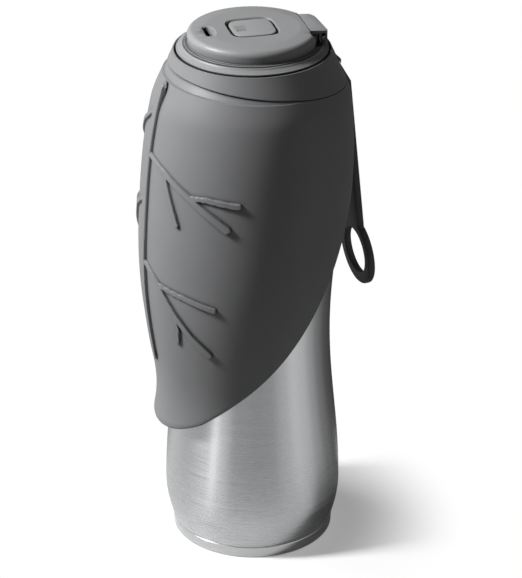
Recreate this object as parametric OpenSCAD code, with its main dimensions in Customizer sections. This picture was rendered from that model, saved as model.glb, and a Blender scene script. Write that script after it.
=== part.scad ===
// Travel water bottle for a dog: a double-walled steel bottle, a screw-in lid with a push valve
// under a hinged cover, a carry strap, and a leaf-shaped silicone cup that wraps the bottle and
// turns up to make a drinking bowl.
// The leaf's midrib faces -Y, the strap hangs at +Y and Z is up. The origin is the middle of the
// foot, on the surface that the bottle stands on. All sizes are in millimetres.

/* [Bottle] */
// Radius of the base band
base_r = 38; // [36:0.5:39.5]
// Height of the base band
base_h = 5.6; // [4.6:0.1:7]
// Radius of the lower bulge
belly_r = 41.3; // [40:0.1:42.5]
// Height of the widest place of the lower bulge
belly_z = 24; // [20:1:30]
// Radius of the waist
waist_r = 36.2; // [35:0.1:38]
// Height of the waist
waist_z = 106; // [95:1:118]
// Radius of the shoulder
shoulder_r = 42; // [41:0.1:42.6]
// Height where the shoulder starts to close
shoulder_z = 192; // [186:1:194]
// Height over which the shoulder closes to the neck
shoulder_rise = 40; // [36:1:40]
// Outer radius of the neck
neck_r = 33; // [32.4:0.1:33.2]
// Height of the rim
rim_z = 242.5; // [241.5:0.1:244]
// Thickness of the steel
steel_t = 0.8; // [0.5:0.1:1]
// Width of the evacuated space between the two walls
vacuum_gap = 2.4; // [1.8:0.1:2.6]
// Radius of the plug that seals the evacuated space
seal_plug_r = 4; // [3:0.5:6]

/* [Thread] */
// Rise of the lid in one turn
pitch = 4; // [3.6:0.1:4.4]
// Turns of thread on each side
thread_turns = 1.75; // [1.25:0.25:2]
// How far a thread stands out
thread_h = 1.1; // [0.9:0.1:1.2]
// Axial width of a thread at its root
thread_w = 1.7; // [1.3:0.1:1.8]
// Gap between a thread's crest and the facing wall
thread_gap = 0.4; // [0.3:0.05:0.5]

/* [Lid] */
// How far round from the leaf's midrib the lid comes to rest
lid_angle = 8; // [0:1:20]
// Distance that the lid's flange stands out beyond the neck
flange_lip = 0.9; // [0.4:0.1:1.4]
// Thickness of the lid gasket
gasket_t = 0.9; // [0.7:0.1:1.2]
// Rise of the flange from its edge to the foot of the cover
flange_rise = 1.7; // [1.2:0.1:2.2]
// Thickness of the flange at its edge
flange_t = 0.7; // [0.5:0.1:1]
// Wall of the lid's threaded plug
plug_wall = 3.5; // [3:0.1:4.5]
// Depth of the lid's plug below the rim
plug_depth = 16.5; // [15:0.5:18]
// Height of the well's floor above the plug's lower end
floor_up = 6; // [5:0.5:7]
// Thickness of the well's floor
floor_t = 2.5; // [2:0.1:3]
// Radius of the water hole in the floor
seat_r = 8; // [7:0.1:8.6]

/* [Cover] */
// Distance from the neck's radius in to the cover's side
cover_step = 3.4; // [3.2:0.1:4]
// Height of the cover above its foot
cover_h = 6.8; // [6.4:0.1:7.4]
// Thickness of the cover's side wall
cover_t = 1.6; // [1.3:0.1:1.8]
// Thickness of the cover's top
cover_top_t = 2; // [1.6:0.1:2.4]
// Radius of the round edge of the cover's top
cover_edge_r = 3.6; // [2.5:0.1:4]
// Distance that the cover's foot ring stands out beyond its side
foot_out = 1.5; // [1:0.1:1.7]
// Height of the ring at the cover's foot
foot_h = 0.8; // [0.6:0.1:1.2]
// Width of the hinge tab
tab_w = 25; // [22:0.5:28]
// Distance of the hinge pin outside the cover's side
hinge_out = 0.8; // [0.6:0.1:1]
// Depth of the hinge pin below the cover's top
hinge_drop = 3.7; // [3.5:0.1:3.9]
// Radius of the hinge knuckles
knuckle_r = 2.9; // [2.7:0.1:3]
// Width of the lid's hinge lug
lug_w = 9.4; // [8:0.2:11]
// Radius of the hinge pin
pin_r = 1.1; // [0.9:0.1:1.3]
// Width of the drinking slot
slot_w = 11; // [8:0.5:12]
// Depth of the drinking slot, front to back
slot_d = 2.8; // [2.4:0.1:3.2]
// Distance from the well's wall in to the middle of the drinking slot
slot_in = 3.4; // [3:0.1:4.2]

/* [Button and valve] */
// Side of the square button
button_w = 20.2; // [18:0.2:21]
// Corner radius of the button
button_corner = 6; // [4:0.5:7]
// Gap round the button
button_gap = 0.5; // [0.4:0.05:0.7]
// Wall of the button and of its guide
button_t = 1.6; // [1.4:0.1:1.8]
// Travel of the button
button_travel = 2.5; // [1.5:0.1:2.8]
// Radius of the valve's stem
stem_r = 2.5; // [2:0.1:2.8]
// Radius of the spring cap on the stem
cap_r = 6.6; // [6:0.1:7]
// Radius of the spring's wire
spring_wire_r = 0.5; // [0.4:0.05:0.6]
// Radius of the spring at the middle of its wire
spring_r = 4.4; // [4:0.1:4.8]
// Radius of the valve's plate
plate_r = 10; // [9.6:0.1:11]

/* [Cup] */
// Height of the cup collar's top edge above the underside of the lid's flange
collar_rise = 0.2; // [-0.4:0.1:1]
// Wall of the collar's top edge
collar_wall = 1; // [0.8:0.1:1.6]
// Gain in the collar's radius for each millimetre down
collar_flare = 0.43; // [0.4:0.01:0.45]
// Distance from the collar's top edge down to the fold line, on the bottle's axis
fold_drop = 9.2; // [8.8:0.1:9.8]
// Tilt of the fold line
fold_tilt = 7.4; // [6:0.1:8]
// Gap between the collar and the leaf at the fold line
fold_gap = 0.3; // [0.2:0.05:0.4]
// Distance from the fold line down to the leaf's ledge
ledge_drop = 1.8; // [1.2:0.1:2.4]
// Lean of the leaf away from the bottle
leaf_tilt = 4.1; // [3.7:0.1:4.5]
// Gain in radius from the collar's top edge to the leaf's top
leaf_top_out = 4; // [3.6:0.1:4.6]
// Largest radius of the leaf
leaf_max_r = 48.3; // [47.6:0.1:49.5]
// Height of the largest radius
leaf_max_z = 178; // [172:1:184]
// Radius of the leaf at its tip, without the flared lip
leaf_tip_r = 33.8; // [33:0.1:35]
// Outward flare of the lip
lip_flare = 2.2; // [1.5:0.1:3]
// Height of the leaf's tip
tip_z = 59; // [54:1:66]
// Height of the leaf's lower edge at the back
back_edge_z = 190; // [184:1:196]
// Wall of the leaf
leaf_t = 3; // [2.4:0.1:3.4]
// Height of the veins above the leaf
vein_h = 1.5; // [1:0.1:2]
// Width of the midrib
midrib_w = 4.6; // [4:0.1:5.5]
// Width of a branch vein
vein_w = 2.6; // [2:0.1:3.2]
// Clearance between silicone and steel
cup_gap = 0.3; // [0.2:0.05:0.5]

/* [Strap] */
// Width of the carry strap
strap_w = 14; // [12:0.5:15]
// Thickness of the carry strap
strap_t = 3.4; // [3:0.1:3.6]
// Outer radius of the ring at the strap's end
ring_r = 16.5; // [14:0.5:18]
// Radius of the hole in the ring
ring_hole_r = 9.8; // [8:0.2:11]
// Height of the middle of the ring
ring_z = 134; // [126:1:142]
// Distance from the rim down to the bar that the strap hangs from
bar_drop = 8.9; // [8.5:0.1:9.3]
// Distance of the strap's bend inside the leaf's largest radius
strap_in = 5.8; // [5:0.1:6.5]
// Distance from the bar down to the strap's bend
strap_fall = 10.6; // [9:0.1:13]
// Distance of the strap's bar outside the neck
bar_out = 4.8; // [4.6:0.1:5]
// Radius of the bar
bar_r = 1.3; // [1:0.1:1.5]

/* [Hidden] */
$fn = 96;

// Clearances
touch = 0.05;       // between two pieces of one body that seat on each other
running = 0.08;     // radial, round a pin or a stem
seal_gap = 0.1;     // between a seal and the moving face that it meets
slack = 0.3;        // between two bodies that only pass each other
sink = 0.4;         // how far a rib starts inside the wall that it stands on
far = 120;          // reach of a cutting block
block = 130;        // width of a block that is larger than the leaf

// Numbers of steps along the curves
curve_n = 26;
leaf_n = 18;
edge_n = 14;
end_n = 6;
shoulder_n = 14;
corner_n = 6;
thread_n = 28;
spring_turns = 3;
spring_n = 20;

// Bottle
belly_sweep = 90;
flask_floor_z = base_h + 4.4;
flask_corner = 7;
spigot_r = base_r - 1.2;
cap_wall = spigot_r + touch;
cap_floor = 1;
shell_floor_z = base_h - 3;
foot_chamfer = 0.5;
foot_in = 8;
foot_groove = 3;
bore_r = neck_r - 2 * steel_t - vacuum_gap;
plug_r = bore_r - thread_h - thread_gap;
well_r = plug_r - plug_wall;
flange_r = neck_r + flange_lip;
shoulder_top_z = shoulder_z + shoulder_rise;
thread_z = rim_z - pitch * (thread_turns + 1);

// Cover
cover_r = neck_r - cover_step;
foot_r = cover_r + foot_out;
hinge_y = cover_r + hinge_out;
slot_y = well_r - slot_in;
vent_x = (plate_r + well_r) / 2;

// Lid levels, from the rim upwards
gasket_z = rim_z + seal_gap;
flange_z = gasket_z + gasket_t + seal_gap;
deck_z = flange_z + flange_t + flange_rise;
foot_z = deck_z + slack;
cover_top_z = foot_z + cover_h;
cover_in_r = cover_r - cover_t;
cover_in_z = cover_top_z - cover_top_t;
seal_in_r = cover_in_r - 2.1;
wall_top_z = deck_z + 2.4;
wall_r = seal_in_r - 0.5;
plug_z = rim_z - plug_depth;
floor_z = plug_z + floor_up;
floor_top_z = floor_z + floor_t;
hinge_z = cover_top_z - hinge_drop;
lug_r = knuckle_r - slack;

// Button and valve levels
guide_w = button_w + 2 * button_gap;
guide_z = cover_in_z - 3.4;
hook_h = 0.8;
hook_z = guide_z - slack - hook_h;
groove_z = guide_z + button_travel + 0.5;
groove_h = 1;
groove_t = 0.8;
button_in_z = cover_top_z - button_t;
boss_r = 3;
boss_z = guide_z + 0.4;
hook_w = 4;
seal_notch = 3;
rib_len = 6;
rib_w = 0.6;
rib_h = 0.3;
rib_step = 1.6;
stem_top_z = boss_z - 0.2;
cap_z = stem_top_z - 3.1;
cap_t = 1.4;
hub_r = 5.6;
arm_w = 3;
hub_top_z = floor_top_z + 2.5;
hub_z = floor_top_z - 1.4;
seal_t = 2.1;
seal_top_z = floor_z - seal_gap;
plate_top_z = seal_top_z - seal_t;
plate_t = 1.6;
plate_z = plate_top_z - plate_t;
clip_t = 1;
stem_z = plate_z - clip_t - 0.6;
clip_neck_r = stem_r - 0.8;

// Collar and fold line
collar_top_z = flange_z + collar_rise;
fold_z = collar_top_z - fold_drop;
ledge_z = fold_z - ledge_drop;

// Leaf axis: it passes a little behind the bottle's axis at the fold and leans forward below it
leaf_pivot_z = fold_z - 0.6;
leaf_pivot_y = 1;
leaf_end_z = tip_z - 8;
leaf_fullness = 0.62;
midrib_stop = 38;
midrib_low_z = tip_z + midrib_stop;
midrib_high_z = fold_z - midrib_w;
edge_rise = 36;
edge_front_y = -14;
edge_back_y = 6;
ledge_h = 8;
lip_rise = 26;
lip_z = tip_z + lip_rise;
lip_span = 23;
back_y = 46;
tip_y = 47.5;
collar_h = 20;
room_gap = 1.5;
lid_room_r = flange_r + room_gap;
collar_top_r = lid_room_r + collar_wall;
leaf_top_r = collar_top_r + leaf_top_out;
ring_in_r = neck_r + touch;
ring_out_r = lid_room_r - 0.2;
neck_ring_top = rim_z - 1.5;
neck_ring_z = shoulder_top_z + 0.6;

// Veins, seen from the front: where the branches leave the midrib, and their points from there
branch_lift = 22;
branch_shift = 20;
low_fall = 31;
low_shift = 30;
branch_right_z = leaf_max_z + branch_lift;
branch_left_z = branch_right_z + branch_shift;
low_right_z = leaf_max_z - low_fall;
low_left_z = low_right_z + low_shift;
branch_start = [0, 1];
branch_bend = [14.5, -4];
branch_fork = [28, -11];
branch_end = [41, -25];
branch_side = [44, -12];
branch_down = [23.5, -27];
low_bend = [13, -6];
low_fork = [21, -17];
low_end = [34, -37];
low_side = [38, -12];
low_down = [22, -32];
end_widening = 1.25;

// Strap: it leaves the pocket, turns down and leans out from the bottle
bar_y = neck_r + bar_out;
bar_z = rim_z - bar_drop;
strap_bend = [max(leaf_max_r - strap_in, shoulder_r - 1), bar_z - strap_fall];
strap_lean = 0.105;
strap_end_z = ring_z - ring_r;
strap_end = [strap_bend[0] + (strap_bend[1] - strap_end_z) * strap_lean, strap_end_z];
strap_eye_r = bar_r + 1.3;
pocket_w = strap_w + 1;
pocket_y = bar_y - strap_eye_r - slack;
pocket_top_z = bar_z + strap_eye_r + 0.9;
bar_len = pocket_w + 4;
channel_w = strap_w + 2;
channel_in = strap_t / 2 + slack;

// ---- curves ----

function smooth(u) = (1 - cos(180 * u)) / 2;

// Radius of the bottle's outside at a height below the shoulder
function body_r(z) =
    z < belly_z ? base_r + (belly_r - base_r) * sin(belly_sweep * (z - base_h) / (belly_z - base_h)) :
    z < waist_z ? belly_r + (waist_r - belly_r) * smooth((z - belly_z) / (waist_z - belly_z)) :
    waist_r + (shoulder_r - waist_r) * smooth((z - waist_z) / (shoulder_z - waist_z));

// Side of the bottle from a height up to the shoulder, drawn in by inset
function side_points(from_z, inset) =
    [for (i = [0 : curve_n]) let (z = from_z + (shoulder_z - from_z) * i / curve_n) [body_r(z) - inset, z]];

// Shoulder from the side to the neck, drawn in by inset
function shoulder_points(inset) =
    [for (i = [1 : shoulder_n]) let (a = 90 * i / shoulder_n)
        [neck_r - inset + (shoulder_r - neck_r) * cos(a), shoulder_z + (shoulder_rise - inset) * sin(a)]];

// Round corner of the flask's floor
function corner_points(z, inset) =
    [for (i = [0 : corner_n - 1]) let (a = 90 * i / corner_n)
        [body_r(z + flask_corner) - inset - flask_corner * (1 - sin(a)), z + flask_corner * (1 - cos(a))]];

// Radius of the leaf at a height on its own axis
function leaf_r(z) =
    z > leaf_max_z
    ? leaf_top_r + (leaf_max_r - leaf_top_r)
        * pow(max(0, 1 - pow((z - leaf_max_z) / (leaf_pivot_z - leaf_max_z), 2)), leaf_fullness)
    : leaf_tip_r + (leaf_max_r - leaf_tip_r)
        * (1 - smooth(pow((leaf_max_z - z) / (leaf_max_z - tip_z), 1.5)))
        + lip_flare * pow(max(0, lip_z - z) / lip_span, 2);

// Point of the leaf's lower edge, seen from the side, for t from 0 at the tip to 1 at the back
function bezier(t, a, b, c, d) =
    pow(1 - t, 3) * a + 3 * pow(1 - t, 2) * t * b + 3 * (1 - t) * t * t * c + t * t * t * d;
function edge_point(t) = bezier(t, [-tip_y, tip_z], [edge_front_y, tip_z + edge_rise],
    [edge_back_y, tip_z + edge_rise], [back_y, back_edge_z]);

// ---- shared shapes ----

// Solid outside of the bottle, grown by a clearance
module bottle_space(grow) {
    rotate_extrude()
        polygon(concat([[0, base_h]], side_points(base_h, -grow), shoulder_points(-grow),
            [[neck_r + grow, rim_z + 20], [0, rim_z + 20]]));
}

// Solid of revolution about the leaf's leaning axis, its radius grown and its top raised by a distance
module leaf_space(grow, up) {
    translate([0, leaf_pivot_y, leaf_pivot_z])
        rotate([-leaf_tilt, 0, 0])
            translate([0, 0, -leaf_pivot_z])
                rotate_extrude()
                    polygon(concat([[0, leaf_end_z]],
                        [for (i = [0 : leaf_n]) let (z = leaf_end_z + (leaf_pivot_z - leaf_end_z) * i / leaf_n)
                            [leaf_r(z) + grow, z]],
                        up > 0 ? [[leaf_top_r + grow, leaf_pivot_z + up]] : [],
                        [[0, leaf_pivot_z + up]]));
}

// Everything above the fold line, moved up by a distance
module above_fold(up) {
    translate([0, 0, fold_z + up])
        rotate([-fold_tilt, 0, 0])
            translate([-far, -far, 0])
                cube([2 * far, 2 * far, far]);
}

// Square with round corners, standing on the XY plane
module round_square(w, r) {
    square([w, w - 2 * r], center = true);
    square([w - 2 * r, w], center = true);
    for (x = [-1, 1], y = [-1, 1])
        translate([x * (w / 2 - r), y * (w / 2 - r)])
            circle(r);
}

// Ring between two radii and two heights
module ring(r_in, r_out, z_low, z_high) {
    translate([0, 0, z_low])
        difference() {
            cylinder(r = r_out, h = z_high - z_low);
            translate([0, 0, -1])
                cylinder(r = r_in, h = z_high - z_low + 2);
        }
}

// Bar along X through a point of the YZ plane
module cross_bar(r, len, y, z) {
    translate([-len / 2, y, z])
        rotate([0, 90, 0])
            cylinder(r = r, h = len);
}

// Outline drawn in the YZ plane and carried along X
module side_plate(w) {
    translate([-w / 2, 0, 0])
        rotate([90, 0, 90])
            linear_extrude(w)
                children();
}

// Solid swept up a helix. The section is drawn counterclockwise, as radius and height.
module helix(section, turns, rise, steps) {
    n = len(section);
    last = n * steps;
    points = [for (i = [0 : steps], p = section) let (a = 360 * turns * i / steps)
        [p[0] * cos(a), p[0] * sin(a), p[1] + rise * turns * i / steps]];
    sides = [for (i = [0 : steps - 1], k = [0 : n - 1]) let (a = n * i + k, b = n * i + (k + 1) % n)
        each [[a, b, a + n], [b, b + n, a + n]]];
    ends = [for (k = [1 : n - 2]) each [[0, k + 1, k], [last, last + k, last + k + 1]]];
    polyhedron(points = points, faces = concat(sides, ends));
}

// Thread on a wall of radius root_r, standing out by height, inwards where that is negative
module thread_rib(root_r, height, start_z) {
    foot = root_r - sign(height) * sink;
    crest = root_r + height;
    a = [foot, -thread_w / 2];
    b = [crest, -thread_w / 4];
    c = [crest, thread_w / 4];
    d = [foot, thread_w / 2];
    translate([0, 0, start_z])
        helix(height > 0 ? [a, b, c, d] : [b, a, d, c], thread_turns, pitch, ceil(thread_turns * thread_n));
}

// Turns what belongs to the lid to where the lid comes to rest
module lid_place() {
    rotate([0, 0, -lid_angle])
        children();
}

// ---- bottle ----

// Outer steel wall, with the hole in its floor through which the space is evacuated
module outer_shell() {
    color("silver")
        difference() {
            rotate_extrude()
                polygon(concat(
                    [[0, shell_floor_z], [spigot_r, shell_floor_z], [spigot_r, base_h]],
                    side_points(base_h, 0), shoulder_points(0),
                    [[neck_r, rim_z - steel_t], [0, rim_z - steel_t]]));
            rotate_extrude()
                polygon(concat(
                    [[0, shell_floor_z + steel_t], [spigot_r - steel_t, shell_floor_z + steel_t],
                        [spigot_r - steel_t, base_h + steel_t]],
                    side_points(base_h + 2 * steel_t, steel_t), shoulder_points(steel_t),
                    [[neck_r - steel_t, rim_z], [0, rim_z]]));
            translate([0, 0, shell_floor_z - 1])
                cylinder(r = seal_plug_r + touch, h = steel_t + 2);
        }
}

// Inner steel wall, with the rolled rim and the thread in the neck
module inner_flask() {
    outside = steel_t + vacuum_gap;
    inside = outside + steel_t;
    color("gainsboro")
        union() {
            difference() {
                union() {
                    flask_space(flask_floor_z, outside, rim_z);
                    ring(bore_r, neck_r, rim_z - steel_t, rim_z);
                }
                flask_space(flask_floor_z + steel_t, inside, rim_z + 1);
            }
            thread_rib(bore_r, -thread_h, thread_z + pitch / 2);
        }
}

// Solid inside of the flask, drawn in from the bottle's outside by inset
module flask_space(z, inset, top_z) {
    rotate_extrude()
        polygon(concat([[0, z]], corner_points(z, inset), side_points(z + flask_corner, inset),
            shoulder_points(inset), [[neck_r - inset, top_z], [0, top_z]]));
}

// Steel cup that closes the bottom and makes the bright band
module base_cap() {
    color("silver")
        difference() {
            cylinder(r = base_r, h = base_h - touch);
            translate([0, 0, shell_floor_z - touch])
                cylinder(r = cap_wall, h = base_h);
            translate([0, 0, cap_floor])
                cylinder(r = cap_wall - 2, h = base_h);
            ring(base_r - foot_chamfer, base_r + 1, -1, foot_chamfer / 2);
            ring(base_r - foot_in - foot_groove, base_r - foot_in, -1, cap_floor / 2);
        }
}

// Brazed plug that closes the evacuated space
module vacuum_plug() {
    color("darkgray")
        union() {
            translate([0, 0, shell_floor_z - 0.4])
                cylinder(r = seal_plug_r, h = steel_t + 0.8);
            translate([0, 0, shell_floor_z + steel_t + touch])
                cylinder(r = seal_plug_r + 1, h = 0.4);
        }
}

// ---- cup, collar and strap ----

// Stiff ring that keeps the silicone collar round and holds it on the neck
module neck_ring() {
    color("dimgray")
        difference() {
            ring(ring_in_r, ring_out_r, neck_ring_z, neck_ring_top);
            strap_pocket();
        }
}

// Room for the strap's eye in the back of the collar
module strap_pocket() {
    translate([-pocket_w / 2, pocket_y, bar_z - 12])
        cube([pocket_w, 20, pocket_top_z - bar_z + 12]);
}

// Cone of the collar's outside between two heights
module collar_cone(z_low, z_high) {
    translate([0, 0, z_low])
        cylinder(r1 = collar_top_r + collar_flare * (collar_top_z - z_low),
            r2 = collar_top_r + collar_flare * (collar_top_z - z_high), h = z_high - z_low);
}

// Upper part of the silicone cup, above the fold line
module cup_collar() {
    color("gray")
        difference() {
            intersection() {
                collar_cone(collar_top_z - collar_h, collar_top_z);
                above_fold(fold_gap / 2);
            }
            bottle_space(touch);
            ring(0, ring_out_r + touch, neck_ring_z - touch, collar_top_z + 1);
            ring(0, lid_room_r, neck_ring_top, collar_top_z + 1);
            strap_pocket();
            cross_bar(bar_r + touch, bar_len + 2 * touch, bar_y, bar_z);
        }
}

// Bar that the carry strap hangs from
module strap_bar() {
    color("silver")
        cross_bar(bar_r, bar_len, bar_y, bar_z);
}

// One stroke of a vein between two points, with round ends, seen from the front
module stroke(a, b, w) {
    turn = atan2(b[1] - a[1], b[0] - a[0]);
    polygon(concat(half_round(a, w / 2, turn + 90), half_round(b, w / 2, turn - 90)));
}

// Half of a round end about a point, counterclockwise from an angle
function half_round(p, r, from) =
    [for (k = [0 : end_n]) let (a = from + 180 * k / end_n) p + r * [cos(a), sin(a)]];

// The upper branch, which leaves the midrib at height 0 and splits into three, seen from the front
module upper_branch() {
    stroke(branch_start, branch_bend, vein_w);
    stroke(branch_bend, branch_fork, vein_w);
    stroke(branch_fork, branch_end, vein_w * end_widening);
    stroke(branch_fork, branch_side, vein_w);
    stroke(branch_bend, branch_down, vein_w);
}

// The lower, steeper branch
module lower_branch() {
    stroke(branch_start, low_bend, vein_w);
    stroke(low_bend, low_fork, vein_w);
    stroke(low_fork, low_end, vein_w * end_widening);
    stroke(low_bend, low_side, vein_w);
    stroke(low_fork, low_down, vein_w);
}

// The midrib and its alternating branches, seen from the front
module vein_outline() {
    stroke([0, midrib_low_z], [0, midrib_high_z], midrib_w);
    translate([0, branch_right_z])
        upper_branch();
    translate([0, low_right_z])
        lower_branch();
    mirror([1, 0])
        translate([0, branch_left_z])
            upper_branch();
    mirror([1, 0])
        translate([0, low_left_z])
            lower_branch();
}

// Raised veins on the front of the leaf
module veins() {
    intersection() {
        translate([0, -leaf_pivot_y, 0])
            rotate([90, 0, 0])
                linear_extrude(leaf_max_r + 20)
                    vein_outline();
        difference() {
            leaf_space(vein_h, 0);
            leaf_space(-sink, 1);
        }
    }
}

// Leaf-shaped lower part of the silicone cup, which wraps the bottle and folds up to be a bowl
module leaf_cup() {
    color("gray")
        difference() {
            union() {
                intersection() {
                    leaf_space(0, 0);
                    leaf_keep();
                }
                collar_cone(ledge_z, ledge_z + ledge_h);
                veins();
            }
            leaf_space(-leaf_t, ledge_h);
            bottle_space(cup_gap);
            above_fold(-fold_gap / 2);
            strap_channel();
        }
}

// Channel in the back of the leaf that the strap lies in
module strap_channel() {
    side_plate(channel_w)
        polygon([[bar_y - channel_in, block * 2], [bar_y - channel_in, bar_z], strap_bend - [channel_in, 0],
            strap_end - [channel_in, 0], [block, strap_end_z], [block, block * 2]]);
}

// Everything above the leaf's lower edge
module leaf_keep() {
    edge = [for (i = [0 : edge_n]) edge_point(i / edge_n)];
    side_plate(block)
        polygon(concat([[-block / 2, tip_z]], edge,
            [[block / 2, back_edge_z], [block / 2, block * 2], [-block / 2, block * 2]]));
}

// Flat moulded strap with an eye at its top and a finger ring at its end
module carry_strap() {
    half = [strap_t / 2, 0];
    top = [bar_y, bar_z];
    color("dimgray")
        difference() {
            union() {
                intersection() {
                    side_plate(2 * ring_r)
                        polygon([top - half, top + half, strap_bend + half, strap_end + half, strap_end - half,
                            strap_bend - half]);
                    strap_outline();
                }
                cross_bar(strap_eye_r, strap_w, bar_y, bar_z);
            }
            cross_bar(bar_r + running, strap_w + 2, bar_y, bar_z);
        }
}

// Front view of the strap: a band that ends in a ring
module strap_outline() {
    rotate([90, 0, 0])
        translate([0, 0, -far / 2])
            linear_extrude(far / 2)
                difference() {
                    union() {
                        translate([-strap_w / 2, ring_z])
                            square([strap_w, bar_z - ring_z]);
                        translate([0, ring_z])
                            circle(r = ring_r);
                    }
                    translate([0, ring_z])
                        circle(r = ring_hole_r);
                }
}

// ---- lid ----

// Flat silicone ring between the rim and the lid's flange
module lid_gasket() {
    color("whitesmoke")
        ring(plug_r + thread_h + touch, neck_r - 0.6, gasket_z, gasket_z + gasket_t);
}

// Flange, threaded plug, well with the valve's seat, and the hinge lug
module lid_base() {
    color("gray")
        union() {
            difference() {
                rotate_extrude()
                    polygon([[0, plug_z], [plug_r, plug_z], [plug_r, flange_z], [flange_r, flange_z],
                        [flange_r, flange_z + flange_t], [foot_r, deck_z], [wall_r, deck_z],
                        [wall_r, wall_top_z], [0, wall_top_z]]);
                translate([0, 0, floor_top_z])
                    cylinder(r = well_r, h = far);
                translate([0, 0, plug_z - 1])
                    cylinder(r = well_r, h = floor_z - plug_z + 1);
                translate([0, 0, floor_z - 1])
                    cylinder(r = seat_r, h = floor_t + 2);
                vent_place()
                    translate([0, 0, floor_z - 1])
                        cylinder(r = 1.9, h = floor_t + 2);
            }
            thread_rib(plug_r, thread_h, thread_z);
            lid_place()
                hinge_lug();
        }
}

// Lug between the cover's knuckles
module hinge_lug() {
    difference() {
        union() {
            cross_bar(lug_r, lug_w, hinge_y, hinge_z);
            side_plate(lug_w)
                polygon([[hinge_y - lug_r, deck_z - sink], [hinge_y - lug_r, hinge_z],
                    [hinge_y + lug_r, hinge_z], [hinge_y + lug_r * 0.3, deck_z - sink]]);
        }
        cross_bar(pin_r + running, lug_w + 2, hinge_y, hinge_z);
    }
}

// Place of the vent valve in the floor, between two arms of the guide
module vent_place() {
    lid_place()
        rotate([0, 0, 30])
            translate([vent_x, 0, 0])
                children();
}

// Ring with three arms that holds the hub that the stem slides in
module stem_guide() {
    arm_t = 2;
    color("darkgray")
        lid_place()
            difference() {
                union() {
                    ring(well_r - 2.4, well_r - touch, floor_top_z, floor_top_z + arm_t);
                    for (a = [90, 210, 330])
                        rotate([0, 0, a])
                            translate([stem_r + 1, -arm_w / 2, floor_top_z])
                                cube([well_r - stem_r - 2, arm_w, arm_t]);
                    translate([0, 0, hub_z])
                        cylinder(r = hub_r, h = hub_top_z - hub_z);
                }
                translate([0, 0, hub_z - 1])
                    cylinder(r = stem_r + running, h = 20);
            }
}

// Steel pin of the cover's hinge
module hinge_pin() {
    color("silver")
        lid_place()
            cross_bar(pin_r, tab_w - 1, hinge_y, hinge_z);
}

// Mushroom-shaped silicone valve that lets air into the bottle
module vent_valve() {
    color("whitesmoke")
        vent_place()
            union() {
                translate([0, 0, floor_z - 1.1])
                    cylinder(r = 4.4, h = 1);
                translate([0, 0, floor_z - 0.2])
                    cylinder(r = 1.85, h = floor_t + 0.4);
                translate([0, 0, floor_top_z + touch])
                    cylinder(r1 = 2.6, r2 = 1.4, h = 1.6);
            }
}

// Coil spring between the guide's hub and the spring cap
module valve_spring() {
    section = [for (k = [0 : 5]) [spring_r + spring_wire_r * cos(60 * k), spring_wire_r * sin(60 * k)]];
    low_z = hub_top_z + spring_wire_r;
    high_z = cap_z - spring_wire_r;
    color("silver")
        translate([0, 0, low_z])
            helix(section, spring_turns, (high_z - low_z) / spring_turns, spring_turns * spring_n);
}

// ---- cover and button ----

// Outside of the cover, with its round edge, its foot ring and its hinge tab
module cover_outside() {
    rotate_extrude()
        union() {
            translate([0, foot_z])
                square([foot_r, foot_h]);
            translate([0, foot_z])
                square([cover_r, cover_h - cover_edge_r]);
            square_top = cover_top_z - cover_edge_r;
            translate([0, square_top])
                square([cover_r - cover_edge_r, cover_edge_r]);
            translate([cover_r - cover_edge_r, square_top])
                circle(r = cover_edge_r);
        }
}

// Tab at the back that covers the lug and carries the knuckles
module cover_tab() {
    side_plate(tab_w)
        polygon([[cover_r - 8, foot_z + foot_h], [cover_r - 8, cover_top_z], [hinge_y - 0.8, cover_top_z],
            [hinge_y + knuckle_r * 0.72, hinge_z + knuckle_r * 0.7], [hinge_y, hinge_z]]);
    cross_bar(knuckle_r, tab_w, hinge_y, hinge_z);
}

// Hinged cover with the button's opening and the drinking slot
module dome_cover() {
    behind_y = hinge_y - knuckle_r + 0.8;
    color("gray")
        lid_place()
            difference() {
                union() {
                    difference() {
                        cover_outside();
                        translate([-tab_w / 2, behind_y, foot_z - 1])
                            cube([tab_w, 10, hinge_z - foot_z + 1]);
                    }
                    cover_tab();
                }
                difference() {
                    translate([0, 0, foot_z - 1])
                        cylinder(r = cover_in_r, h = cover_in_z - foot_z + 1);
                    translate([0, 0, guide_z])
                        linear_extrude(far)
                            round_square(guide_w + 2 * button_t, button_corner + button_t);
                }
                translate([0, 0, guide_z - 1])
                    linear_extrude(far)
                        round_square(guide_w, button_corner);
                translate([-slot_w / 2, -slot_y - slot_d / 2, cover_in_z - 1])
                    cube([slot_w, slot_d, cover_top_t + 2]);
                side_plate(slot_w)
                    polygon([[-slot_y, cover_in_z + 0.6], [-slot_y + slot_d / 2 + 1.6, cover_top_z + 0.1],
                        [-slot_y, cover_top_z + 0.1]]);
                cross_bar(lug_r + slack, lug_w + 2 * slack, hinge_y, hinge_z);
                side_plate(lug_w + 2 * slack)
                    polygon([[cover_in_r - 2, foot_z - 2], [cover_in_r - 2, hinge_z + 1],
                        [hinge_y, hinge_z + lug_r + slack], [hinge_y, hinge_z], [hinge_y + 9, hinge_z],
                        [hinge_y + 9, foot_z - 2]]);
                cross_bar(pin_r + touch, tab_w - 1 + 2 * touch, hinge_y, hinge_z);
            }
}

// Silicone ring in the cover's wall, outside the rim of the well
module dome_seal() {
    color("whitesmoke")
        lid_place()
            difference() {
                ring(seal_in_r, cover_in_r - touch, foot_z + 1, foot_z + 2.2);
                translate([-lug_w, cover_in_r - seal_notch, foot_z])
                    cube([2 * lug_w, 2 * seal_notch, seal_notch]);
            }
}

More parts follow.
